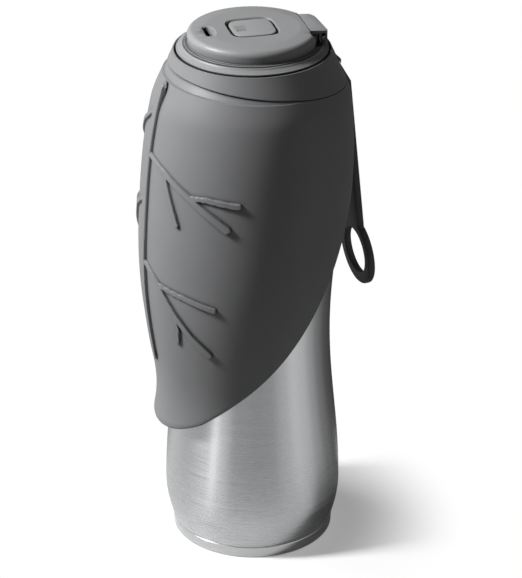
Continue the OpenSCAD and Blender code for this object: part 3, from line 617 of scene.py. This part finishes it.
pin_steel = brushed("pin_steel", (0.6, 0.6, 0.6), 0.3, 0.1, 0.05, anisotropy=0.0)


def dress(obj, body, material, stands_for=()):
    """Gives a piece its material and its body, and hides the solids that it stands for."""
    obj.data.materials.clear()
    obj.data.materials.append(material)
    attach(obj, body)
    if stands_for:
        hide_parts(*stands_for)


# ---- bottle ----

def make_bottle():
    """Outer steel wall with its thickness."""
    heights = [WALL_LOW_Z + (SHOULDER_Z - WALL_LOW_Z) * i / WALL_ROWS for i in range(WALL_ROWS + 1)]
    heights += [SHOULDER_Z + SHOULDER_RISE * math.sin(math.pi / 2 * i / SHOULDER_ROWS)
                for i in range(1, SHOULDER_ROWS + 1)]
    outside = [(body_r(z), z) for z in heights]
    inside = [(r - STEEL_T, z) for r, z in reversed(outside)]
    spigot = [(0, FLOOR_Z), (SPIGOT_R - 1, FLOOR_Z), (SPIGOT_R, FLOOR_Z + 0.6), (SPIGOT_R, SPIGOT_TOP_Z)]
    rim = [(NECK_R, RIM_Z - STEEL_T), (NECK_R - STEEL_T, RIM_Z - STEEL_T)]
    pan = [(SPIGOT_R - 2, WALL_LOW_Z), (SPIGOT_R - 2, FLOOR_Z + STEEL_T), (0, FLOOR_Z + STEEL_T)]
    obj = turned("steel_body", spigot + WALL_SEAM + outside + rim + inside + pan, around=192)
    smooth(obj, 30)
    dress(obj, "bottle", bottle_steel, ["outer_shell"])


def make_band():
    """Steel cup that closes the bottom, with its raised foot."""
    inner_r = SPIGOT_R + BAND_PLAY
    outline = rounded([(0, FOOT_RING_H, 0), (FOOT_RING_R - 1, FOOT_RING_H, 0.4), (FOOT_RING_R, 0, 0.4),
                       (BAND_R - 0.2, 0, 0.7), (BAND_R, BAND_H, 0.35), (inner_r, BAND_H, 0.1),
                       (inner_r, BAND_FLOOR_Z, 0), (BAND_PAN_R, BAND_FLOOR_Z, 0),
                       (BAND_PAN_R, BAND_PAN_Z, 0), (0, BAND_PAN_Z, 0)])
    obj = turned("base_band", outline, around=192)
    smooth(obj, 30)
    dress(obj, "bottle", band_steel, ["base_cap"])


# ---- silicone cup ----

def leaf_section(angle):
    """Closed cross-section of the leaf's wall at an angle from the midrib."""
    low = solve_height(angle, edge_height) + LIP_ROOM
    fold = solve_height(angle, fold_height)
    top = min(solve_height(angle, ledge_height), fold - LEDGE_LEAST) - LEDGE_STEP
    outer = [leaf_point(angle, low + (top - low) * i / LEAF_ROWS) for i in range(LEAF_ROWS + 1)]
    # ledge and the recessed band up to the fold line
    x, y, h = outer[-1]
    flat = math.hypot(x, y)
    ux, uy = x / flat, y / flat
    band_h = max(fold_height(y) - h - FOLD_GAP, BAND_LEAST)
    front = fade(angle, *LEDGE_FADE)
    recess = BAND_RECESS * fade(angle, *BAND_FADE) * ease(band_h / BAND_FULL)
    to_cone = flat - cone_r(h) - LEDGE_OUT * front
    for f in BAND_STEPS:
        z = h + band_h * f
        r = flat + (cone_r(z) - cone_r(h))
        r = r - LEDGE_CUT * front * ease(f / LEDGE_SHARE) - to_cone * ease(f)
        r -= recess * (RECESS_STEP * ease(f / RECESS_SHARE) + RECESS_SLOPE * f)
        outer.append((r * ux, r * uy, z))
    # inner wall, from the fold line down
    inner = []
    for i in range(LEAF_INNER_ROWS + 1):
        f = i / LEAF_INNER_ROWS
        x, y, h = outer[int(round((1 - f) * (len(outer) - 1)))]
        r_out = math.hypot(x, y)
        wall = LEAF_T if f < THIN_FROM else LEAF_T - (f - THIN_FROM) / THIN_SPAN * THIN_BY
        r = max(r_out - wall, body_r(h) + CUP_GAP)
        r = min(r, r_out - LEAF_LEAST_T)
        inner.append((r * x / r_out, r * y / r_out, h))
    # rounded lower lip
    a, b = np.array(inner[-1]), np.array(outer[0])
    middle = (a + b) / 2
    half = (b - a) / 2
    down = np.array((0, 0, -min(LIP_DEPTH, np.linalg.norm(half))))
    lip = []
    for k in range(1, LIP_STEPS):
        phi = math.pi * k / LIP_STEPS
        lip.append(tuple(middle - half * math.cos(phi) + down * math.sin(phi)))
    return outer + inner + lip


def make_leaf():
    """Leaf-shaped cup, with the channel that the strap lies in."""
    obj = wrapped("leaf_shell", leaf_section, 288)
    inset = STRAP_T / 2 + CHANNEL_PLAY
    end_z = RING_Z - RING_R
    end_y = BEND_Y + (BEND_Z - end_z) * STRAP_LEAN
    side = STRAP_W / 2 + CHANNEL_SIDE_PLAY
    channel = [(BAR_Y - inset, CHANNEL_TOP_Z), (BAR_Y - inset, BAR_Z), (BEND_Y - inset, BEND_Z),
               (end_y - inset, end_z), (CHANNEL_OUT_Y, end_z), (CHANNEL_OUT_Y, CHANNEL_TOP_Z)]
    cut(obj, plate("channel", channel, -side, side))
    smooth(obj, 32)
    dress(obj, "cup", silicone, ["leaf_cup"])


# Veins as strokes on the unrolled leaf: (arc from the midrib, height, half width, relief)
MIDRIB = [(0, 98, 2.0, 1.5), (0, 106, 2.2, 1.8), (0, 228, 2.3, 1.8), (0, 231, 2.2, 1.8)]
UPPER_BRANCH = [
    [(1, 201, 1.1, 1.2), (14.5, 196.4, 1.25, 1.3), (29.6, 188.8, 1.5, 1.5), (42.9, 180.0, 1.8, 1.7),
     (47.6, 176.6, 1.9, 1.9)],
    [(29.6, 189.0, 1.1, 1.3), (37.8, 189.6, 1.2, 1.5), (52.2, 187.9, 1.35, 1.8)],
    [(14.9, 195.5, 0.95, 1.2), (17.5, 189.0, 1.05, 1.3), (24.0, 174.2, 1.2, 1.6)]]
LOWER_BRANCH = [
    [(1, 148.5, 1.1, 1.2), (13.4, 141.0, 1.25, 1.3), (22.3, 130.4, 1.5, 1.5), (32.8, 119.0, 1.75, 1.7),
     (42.0, 111.2, 1.9, 1.9)],
    [(13.6, 141.2, 1.1, 1.3), (28.9, 139.3, 1.2, 1.5), (44.0, 135.8, 1.35, 1.8)],
    [(22.8, 129.5, 0.95, 1.2), (25.2, 121.9, 1.05, 1.3), (24.6, 114.6, 1.2, 1.6)]]
# How much higher each branch sits on the left, and how much it hangs for each millimetre outwards
UPPER_LIFT, UPPER_DROOP = 20.0, 0.35
LOWER_LIFT, LOWER_DROOP = 30.5, 0.05
LEFT_SHIFTS = ((0, 0), (0, 0), (17.0, 9.0))   # outwards and down, for a branch's stem and its two twigs


def on_left(branch, lift, droop):
    """A branch on the left of the midrib, higher up and hanging lower, with its twig further out."""
    return [[(-a - out, z - drop + lift - droop * a, w, h) for a, z, w, h in stroke]
            for stroke, (out, drop) in zip(branch, LEFT_SHIFTS)]


VEIN_STROKES = ([MIDRIB] + UPPER_BRANCH + LOWER_BRANCH + on_left(UPPER_BRANCH, UPPER_LIFT, UPPER_DROOP)
                + on_left(LOWER_BRANCH, LOWER_LIFT, LOWER_DROOP))
VEIN_ARC_R = 47.0                     # radius at which the leaf is unrolled
VEIN_ARC, VEIN_LOW_Z, VEIN_HIGH_Z = 56.0, 93.0, 236.0
VEIN_CELL, VEIN_SIDE, VEIN_SUNK, VEIN_WALL = 0.34, 0.36, 0.3, 0.6
VEIN_LEAST, VEIN_RELIEF = 0.6, 0.4    # height above the leaf: the least, and for each of a stroke's relief
VEIN_FAR = 99.0


def vein_height(a, z):
    """Signed distance to the nearest stroke and its height, for arrays of places on the unrolled leaf."""
    distance = np.full(a.shape, VEIN_FAR)
    height = np.zeros(a.shape)
    for stroke in VEIN_STROKES:
        for (a0, z0, w0, h0), (a1, z1, w1, h1) in zip(stroke, stroke[1:]):
            da, dz = a1 - a0, z1 - z0
            t = np.clip(((a - a0) * da + (z - z0) * dz) / (da * da + dz * dz), 0, 1)
            d = np.hypot(a - a0 - t * da, z - z0 - t * dz) - (w0 + t * (w1 - w0))
            nearer = d < distance
            distance = np.where(nearer, d, distance)
            height = np.where(nearer, VEIN_LEAST + VEIN_RELIEF * (h0 + t * (h1 - h0)), height)
    return distance, height


def make_veins():
    """Raised veins: a fine grid on the leaf, kept along the strokes and lifted there."""
    columns, rows = int(2 * VEIN_ARC / VEIN_CELL), int((VEIN_HIGH_Z - VEIN_LOW_Z) / VEIN_CELL)
    deselect()
    bpy.ops.mesh.primitive_grid_add(x_subdivisions=columns, y_subdivisions=rows, size=1)
    obj = bpy.context.object
    obj.name = "leaf_veins"
    arc = np.linspace(-VEIN_ARC, VEIN_ARC, columns + 1)[None, :]
    axis_z = np.linspace(VEIN_LOW_Z, VEIN_HIGH_Z, rows + 1)
    r = np.array([leaf_r(z) for z in axis_z])[:, None]
    h = (axis_z - LEAF_PIVOT[1])[:, None]
    across, ahead = np.sin(arc / VEIN_ARC_R), np.cos(arc / VEIN_ARC_R)
    tilt_c, tilt_s = math.cos(LEAF_TILT), math.sin(LEAF_TILT)

    def standing(y):
        """Height over the floor of the grid's points, which are at y from the leaf's own axis."""
        return -y * tilt_s + h * tilt_c + LEAF_PIVOT[1]

    height = standing(-r * ahead)
    distance, relief = vein_height(np.broadcast_to(arc, height.shape), height)
    rise = np.clip((VEIN_SIDE / 2 - distance) / VEIN_SIDE, 0, 1)
    rise = rise * rise * (3 - 2 * rise)
    lifted = r + (-VEIN_SUNK + (relief + VEIN_SUNK) * rise)
    y = -lifted * ahead
    forward = y * tilt_c + h * tilt_s + LEAF_PIVOT[0]
    place_points(obj, np.stack((lifted * across, forward, standing(y)), axis=2))
    near = (distance < VEIN_SIDE / 2 + VEIN_CELL * 1.5).reshape(-1)
    edit(obj)
    bpy.ops.mesh.select_all(action="DESELECT")
    bpy.ops.object.mode_set(mode="OBJECT")
    obj.data.vertices.foreach_set("select", ~near)
    bpy.ops.object.mode_set(mode="EDIT")
    bpy.ops.mesh.select_mode(type="VERT")
    bpy.ops.mesh.delete(type="VERT")
    bpy.ops.object.mode_set(mode="OBJECT")
    wall = obj.modifiers.new("wall", "SOLIDIFY")
    wall.thickness = VEIN_WALL * MM
    wall.offset = -1
    apply(obj, wall)
    smooth(obj, 60)
    dress(obj, "cup", silicone)


def collar_section(angle):
    """Closed cross-section of the collar at an angle from the midrib."""
    ux, uy = math.sin(angle), -math.cos(angle)
    # where the cone meets the fold line
    r = FOLD_START_R
    for _ in range(FOLD_ROUNDS):
        low = fold_height(r * uy) + FOLD_GAP
        r = cone_r(low)
    back = 1 - fade(angle, *LIP_FADE)
    lip = COLLAR_LIP * (1 - back) + COLLAR_LIP_LEAST
    points = []

    def add(radius, height):
        points.append((radius * ux, radius * uy, height))

    # under the lip, round it and up the cone
    add(r - COLLAR_T, low + COLLAR_UNDER)
    add(r - lip - COLLAR_UNDER, low)
    for k in range(1, COLLAR_ARC + 1):
        a = math.pi / 2 * k / COLLAR_ARC
        add(cone_r(low + lip) - lip + lip * math.sin(a), low + lip - lip * math.cos(a))
    top = COLLAR_TOP_Z - COLLAR_DIP
    edge_z = top - COLLAR_EDGE
    for i in range(1, COLLAR_ROWS + 1):
        z = low + lip + (edge_z - low - lip) * i / COLLAR_ROWS
        add(cone_r(z), z)
    # crisp top edge, down into the lid's room and over the neck ring
    for k in range(1, COLLAR_ARC + 1):
        a = math.pi / 2 * k / COLLAR_ARC
        add(cone_r(edge_z) - COLLAR_EDGE + COLLAR_EDGE * math.cos(a), edge_z + COLLAR_EDGE * math.sin(a))
    for radius, height in ((COLLAR_MOUTH_R + MOUTH_CHAMFER, top - MOUTH_CHAMFER),
                           (COLLAR_MOUTH_R, top - MOUTH_DROP),
                           (COLLAR_MOUTH_R, MOUTH_LOW_Z), (LID_ROOM_R, LID_ROOM_Z),
                           (LID_ROOM_R, NECK_RING_TOP), (NECK_RING_R, NECK_RING_TOP),
                           (NECK_RING_R, NECK_RING_MID_Z), (NECK_RING_R, max(low, NECK_RING_Z))):
        add(radius, max(height, low + COLLAR_UNDER))
    return points


def make_collar():
    """Collar of the cup, with the pocket that the strap's bar sits in."""
    obj = wrapped("cup_neck", collar_section, 240)
    side = STRAP_W / 2 + POCKET_PLAY
    cut(obj, block("pocket", (-side, POCKET_Y, POCKET_LOW_Z), (side, POCKET_OUT_Y, POCKET_TOP_Z)))
    smooth(obj, 32)
    dress(obj, "bottle", silicone, ["cup_collar"])


# ---- strap ----

def make_strap():
    """Moulded strap: a band that ends in a finger ring, bent to lie in its channel."""
    side, half = STRAP_W / 2, STRAP_T / 2
    neck = math.asin(STRAP_W / 2 / RING_R)
    outline = [(-side, BAR_Z), (side, BAR_Z)]
    for k in range(RING_STEPS + 1):
        a = math.pi / 2 - neck - (2 * math.pi - 2 * neck) * k / RING_STEPS
        outline.append((RING_R * math.cos(a), RING_Z + RING_R * math.sin(a)))
    strap = plate("strap_loop", outline, -half, half, axis="Y")
    turns = [2 * math.pi * k / HOLE_STEPS for k in range(HOLE_STEPS)]
    hole = [(RING_HOLE_R * math.cos(a), RING_Z + RING_HOLE_R * math.sin(a)) for a in turns]
    cut(strap, plate("hole", hole, -HOLE_REACH, HOLE_REACH, axis="Y"))
    round_edges(strap, STRAP_ROUND, 3, 50)
    edit(strap)
    for height in STRAP_CUTS:
        bpy.ops.mesh.select_all(action="SELECT")
        bpy.ops.mesh.bisect(plane_co=(0, 0, height * MM), plane_no=(0, 0, 1))
    bpy.ops.object.mode_set(mode="OBJECT")
    for vertex in strap.data.vertices:
        z = vertex.co.z / MM
        if z > BEND_Z:
            shift = BEND_Y + (BAR_Y - BEND_Y) * ((z - BEND_Z) / (BAR_Z - BEND_Z))
        else:
            shift = BEND_Y + (BEND_Z - z) * STRAP_LEAN
        vertex.co.y += shift * MM
    cut(strap, rod("eye", BAR_R + EYE_WALL, BAR_Y, BAR_Z, -side, side), "UNION")
    cut(strap, rod("bore", BAR_R + EYE_PLAY, BAR_Y, BAR_Z, -STRAP_W, STRAP_W))
    smooth(strap, 35)
    dress(strap, "strap", shaded_strap_silicone, ["carry_strap"])


# ---- lid ----

def make_lid_rim():
    """Sloping rim of the lid, from its raised edge up to where the cover rests."""
    obj = turned("lid_rim", rounded(RIM_OUTLINE, steps=5, closed=True), around=192)
    smooth(obj, 40)
    dress(obj, "lid", lid_plastic)


def make_tab():
    """Hinge tab at the back of the cover: its side view carried across, cut to its plan and rounded."""
    side_view = [(TAB_IN_Y, COVER_IN_Z, 0), (HINGE_Y - KNUCKLE_R, COVER_IN_Z, 0),
                 (HINGE_Y - KNUCKLE_R, HINGE_Z, 0), (HINGE_Y + TAB_UNDER[0], TAB_LOW_Z, 1.2),
                 (HINGE_Y + TAB_UNDER[1], TAB_LOW_Z, 1.8), (TAB_OUT_Y, HINGE_Z, 1.4),
                 (TAB_OUT_Y - 0.3, TAB_TOP_Z - 0.3, 1.6), (TAB_IN_Y, COVER_TOP_Z - 0.02, 0)]
    plan = [(-TAB_X, TAB_ROOT_Y, 0), (TAB_X - TAB_GAP, TAB_ROOT_Y, 0),
            (TAB_X - TAB_GAP, TAB_SIDE_Y + 0.6, 1.4), (-TAB_X, TAB_SIDE_Y - 1.0, TAB_CORNER)]
    tab = plate("tab", rounded(side_view, steps=5, closed=True)[:-1], -TAB_X, TAB_X)
    plan = rounded(plan, steps=9, closed=True)[:-1]
    cut(tab, plate("tab_plan", plan, TAB_LOW_Z - 2, TAB_TOP_Z + 2, axis="Z"), "INTERSECT")
    round_edges(tab, TAB_ROUND, 3, 50)
    return tab


def cut_tab_sides(cover):
    """Frees the tab from the dome on both sides, and cuts the recesses into its sides."""
    cuts = [(TAB_X - TAB_GAP - 0.1, TAB_X + NOTCH_W, NOTCH_Y, CLEAR_Y, CLEAR_HIGH_Z)]
    cuts += [(TAB_X - depth, TAB_X + 1, TAB_SIDE_Y + start, TAB_SIDE_Y + end, TAB_TOP_Z - RECESS_ROOF)
             for depth, start, end in TAB_RECESSES]
    for side in (-1, 1):
        for inner_x, outer_x, start, end, roof in cuts:
            low, high = sorted((side * inner_x, side * outer_x))
            cut(cover, block("recess", (low, start, CLEAR_LOW_Z), (high, end, roof)))


def cut_window(cover):
    """Adds the button's guide under the dome and cuts its window, with a chamfered edge."""
    cut(cover, plate("guide", squircle(GUIDE_W + 2 * GUIDE_T), GUIDE_Z, COVER_IN_Z + 0.5, axis="Z"), "UNION")
    cut(cover, plate("window", squircle(GUIDE_W), CLEAR_LOW_Z, CLEAR_HIGH_Z, axis="Z"))
    edge = plate("window_edge", squircle(GUIDE_W), COVER_TOP_Z - WINDOW_EDGE, COVER_TOP_Z + 2, axis="Z")
    spread = (GUIDE_W / 2 + WINDOW_EDGE + 2) / (GUIDE_W / 2)
    for vertex in edge.data.vertices:
        if vertex.co.z > COVER_TOP_Z * MM:
            vertex.co.x, vertex.co.y = vertex.co.x * spread, vertex.co.y * spread
    cut(cover, edge)


def cut_drinking_slot(cover):
    """Cuts the drinking slot in its shallow dish."""
    deselect()
    bpy.ops.mesh.primitive_uv_sphere_add(segments=48, ring_count=24, radius=1, location=(0, 0, 0))
    dish = bpy.context.object
    dish.scale = [size * MM for size in DISH_SIZE]
    dish.location = (0, (SLOT_Y + DISH_SHIFT_Y) * MM, (COVER_TOP_Z + DISH_SHIFT_Z) * MM)
    settle(dish)
    cut(cover, dish)
    slot = block("slot", (-SLOT_X, SLOT_Y - SLOT_D / 2, CLEAR_LOW_Z),
                 (SLOT_X, SLOT_Y + SLOT_D / 2, CLEAR_HIGH_Z))
    round_edges(slot, SLOT_ROUND, 3, 50)
    cut(cover, slot)


def make_cover():
    """Hinged cover: the dome with its foot ring, the hinge tab, the button's window and the drinking slot."""
    foot_top_z = FOOT_Z + FOOT_H
    outline = rounded([(0, COVER_TOP_Z, 0), (CROWN_R, COVER_TOP_Z, 10),
                       (COVER_R, COVER_TOP_Z - CROWN_DROP, 2.7), (COVER_R - 0.55, foot_top_z + 0.05, 0.3),
                       (FOOT_R, foot_top_z - 0.05, 0.2), (FOOT_R, FOOT_Z, 0.2), (COVER_IN_R, FOOT_Z, 0.2),
                       (COVER_IN_R, COVER_IN_Z, 0.5), (0, COVER_IN_Z, 0)], steps=9)
    cover = turned("cover_dome", outline, around=160)
    cut(cover, make_tab(), "UNION")
    cut(cover, block("lug_room", (-LUG_X / 2, HINGE_Y - KNUCKLE_R - LUG_PLAY, CLEAR_LOW_Z),
                     (LUG_X / 2, CLEAR_Y, HINGE_Z + KNUCKLE_R)))
    cut_tab_sides(cover)
    cut(cover, rod("pin_bore", PIN_R + PIN_PLAY, HINGE_Y, HINGE_Z, -TAB_X + 0.3, TAB_X - 0.3))
    cut_window(cover)
    cut_drinking_slot(cover)
    round_edges(cover, COVER_ROUND, 2, 48)
    weld(cover, FINE_WELD)
    turn_lid(cover)
    smooth(cover, 32)
    dress(cover, "cover", lid_plastic, ["dome_cover"])


def make_button():
    """Square push button, rounded at its edge, with its skirt, the stem's boss and three grip ribs."""
    top = COVER_TOP_Z - BUTTON_DROP
    button = plate("square_button", squircle(BUTTON_W), SKIRT_Z, top, axis="Z")
    round_edges(button, BUTTON_ROUND, 4, 60)
    cut(button, plate("hollow", squircle(BUTTON_W - 2 * BUTTON_T), SKIRT_Z - 1, top - BUTTON_T, axis="Z"))
    deselect()
    bpy.ops.mesh.primitive_cylinder_add(vertices=48, radius=STEM_BOSS_R * MM,
                                        depth=(top - BUTTON_T - STEM_BOSS_Z + BOSS_SUNK) * MM,
                                        location=(0, 0, (top - BUTTON_T + BOSS_SUNK + STEM_BOSS_Z) / 2 * MM))
    boss = bpy.context.object
    settle(boss)
    cut(button, boss, "UNION")
    for k in (-1, 0, 1):
        rib = block("rib", (-RIB_X, RIB_LOW_Y + k * RIB_STEP, top - RIB_SUNK),
                    (RIB_X, RIB_HIGH_Y + k * RIB_STEP, top + RIB_H))
        round_edges(rib, RIB_ROUND, 2, 50)
        cut(button, rib, "UNION")
    turn_lid(button)
    smooth(button, 32)
    dress(button, "button", button_plastic, ["push_button"])


make_bottle()
make_band()
make_leaf()
make_veins()
make_collar()
make_strap()
make_lid_rim()
make_cover()
make_button()

# The other solids keep their meshes and only take a material
for material, names in (
        (inner_steel, ("inner_flask",)),
        (lid_plastic, ("lid_base",)),
        (pin_steel, ("vacuum_plug", "strap_bar", "valve_spring", "stem_clip")),
        (dark_plastic, ("neck_ring", "stem_guide", "hinge_pin", "valve_stem", "valve_plate", "spring_cap")),
        (seal_silicone, ("lid_gasket", "vent_valve", "dome_seal", "button_seal", "valve_seal"))):
    for name in names:
        nodes[name].data.materials.clear()
        nodes[name].data.materials.append(material)


# ---- floor, light and camera, in metres and degrees ----

CAMERA_PLACE, CAMERA_TURN = (1.1208, -0.4528, 0.7294), (63.36, 0, 68)
CAMERA_SIDE = -22.0        # where the camera stands round the bottle, from +X
SENSOR_W, LENS, SHIFT_X, CLIP_END = 36, 181.2, 0.0149, 20
FLOOR_SIZE = 6
# How light the floor is to the camera, to what it lights and in the steel, and how white the shadow starts
FLOOR_SEEN, FLOOR_BOUNCE, FLOOR_MIRROR, FLOOR_LEAST_WHITE = 0.9, 0.2, 0.5, 0.27
# Distances from the bottle's axis: where the steel stops mirroring the floor, and where the shadow fades
MIRROR_NEAR, MIRROR_FAR = 0.06, 0.14
SHADOW_NEAR, SHADOW_FAR = 0.045, 0.103
# Brightness of the studio by angle from the camera's side, right (+) and left (-), and its share as fill
ROOM = ((-180, 0.10), (-150, 0.30), (-116, 0.74), (-80, 0.55), (-66, 0.53), (-57, 0.64), (-47, 1.25),
        (-38, 0.74), (-20, 0.40), (7, 0.36), (24, 0.38), (42, 0.56), (57, 0.74), (73, 0.66), (88, 0.44),
        (103, 0.24), (125, 0.10), (150, 0.06), (180, 0.05))
ROOM_FILL = 0.045
# Lamps: angle from the camera, distance, height, width, length, power, and whether the steel mirrors them
LAMPS = {"key": (-79, 1.03, 1.07, 0.20, 0.42, 31, True),
         "left_edge": (-110, 0.9, 0.60, 0.5, 0.7, 5, False),
         "right_edge": (114, 0.9, 0.45, 0.4, 0.7, 0.95, False)}
LAMP_TARGET = (0, 0, 0.14)


def make_room_group():
    """Brightness of the studio by side: a narrow bright window on the left, a wide pale card on the right."""
    tree, given, end = new_group("studio_by_side", (("Direction", "Vector", None),), (("Color", "Color"),))
    turn = node(tree, "ShaderNodeMapping", {"Vector": given["Direction"],
                                            "Rotation": (0, 0, math.radians(-CAMERA_SIDE))})
    split = node(tree, "ShaderNodeSeparateXYZ", {"Vector": turn.outputs["Vector"]}).outputs
    side = maths(tree, "ARCTAN2", split["Y"], split["X"])
    ramp = node(tree, "ShaderNodeValToRGB", {"Fac": ranged(tree, side, -math.pi, math.pi)})
    ramp.color_ramp.interpolation = "EASE"
    stops = ramp.color_ramp.elements
    for i, (degrees, tone) in enumerate(ROOM):
        at = (degrees + 180) / 360
        stop = stops[i] if i < 2 else stops.new(at)
        stop.position = at
        stop.color = grey(tone)
    feed(tree, end, {"Color": ramp.outputs["Color"]})
    return tree


room_group = make_room_group()


def make_floor():
    """Pale floor. To the camera it keeps the soft shadow near the bottle and fades to white further out.
    The steel mirrors the lit floor near the base, and the studio further out."""
    deselect()
    bpy.ops.mesh.primitive_plane_add(size=FLOOR_SIZE, location=(0, 0, 0))
    floor = bpy.context.object
    floor.name = "floor"
    material, tree, shader = new_material("white_floor")
    path = node(tree, "ShaderNodeLightPath").outputs
    place = node(tree, "ShaderNodeTexCoord").outputs["Object"]
    reach = node(tree, "ShaderNodeVectorMath", {0: place}, operation="LENGTH").outputs["Value"]
    tone = mixed(tree, path["Is Camera Ray"], grey(FLOOR_BOUNCE), grey(FLOOR_SEEN))
    tone = mixed(tree, path["Is Glossy Ray"], tone, grey(FLOOR_MIRROR))
    feed(tree, shader, {"Base Color": tone, "Roughness": 0.9, "Specular IOR Level": 0.0})
    fading = ranged(tree, reach, SHADOW_NEAR, SHADOW_FAR, low=FLOOR_LEAST_WHITE, kind="SMOOTHSTEP")
    seen = mixed_shader(tree, maths(tree, "MULTIPLY", path["Is Camera Ray"], fading), shader.outputs[0],
                        glow(tree, grey(1)))
    room = node(tree, "ShaderNodeGroup", {"Direction": place}, node_tree=room_group).outputs["Color"]
    far = ranged(tree, reach, MIRROR_NEAR, MIRROR_FAR, kind="SMOOTHSTEP")
    whole = mixed_shader(tree, maths(tree, "MULTIPLY", path["Is Glossy Ray"], far), seen, glow(tree, room))
    feed(tree, tree.nodes["Material Output"], {"Surface": whole})
    floor.data.materials.append(material)


def make_room():
    """Studio round the bottle: white to the eye, grey walls of uneven brightness for what the steel mirrors,
    and a little of them as fill."""
    world = bpy.data.worlds.new("studio")
    bpy.context.scene.world = world
    world.use_nodes = True
    tree = world.node_tree
    path = node(tree, "ShaderNodeLightPath").outputs
    place = node(tree, "ShaderNodeTexCoord").outputs["Generated"]
    room = node(tree, "ShaderNodeGroup", {"Direction": place}, node_tree=room_group).outputs["Color"]
    dim = scaled(tree, room, ranged(tree, path["Is Diffuse Ray"], low=1.0, high=ROOM_FILL))
    seen = maths(tree, "MAXIMUM", path["Is Camera Ray"], path["Is Transmission Ray"])
    feed(tree, tree.nodes["Background"], {"Color": mixed(tree, seen, dim, grey(1))})


def make_lights():
    """Softboxes that stand round the bottle and face it."""
    for name, (degrees, distance, height, width, length, power, mirrored) in LAMPS.items():
        data = bpy.data.lights.new(name, "AREA")
        data.shape = "RECTANGLE"
        data.size, data.size_y, data.energy = width, length, power
        lamp = bpy.data.objects.new(name, data)
        bpy.context.scene.collection.objects.link(lamp)
        a = math.radians(CAMERA_SIDE + degrees)
        lamp.location = (distance * math.cos(a), distance * math.sin(a), height)
        lamp.rotation_euler = (Vector(LAMP_TARGET) - lamp.location).to_track_quat("-Z", "Y").to_euler()
        lamp.visible_glossy = mirrored


def make_camera():
    """Camera where the photo was taken from."""
    data = bpy.data.cameras.new("camera")
    camera = bpy.data.objects.new("camera", data)
    bpy.context.scene.collection.objects.link(camera)
    data.sensor_width, data.lens, data.shift_x, data.clip_end = SENSOR_W, LENS, SHIFT_X, CLIP_END
    camera.location = CAMERA_PLACE
    camera.rotation_euler = [math.radians(turn) for turn in CAMERA_TURN]
    bpy.context.scene.camera = camera


make_floor()
make_room()
make_lights()
make_camera()
bpy.context.scene.view_settings.view_transform = "Standard"
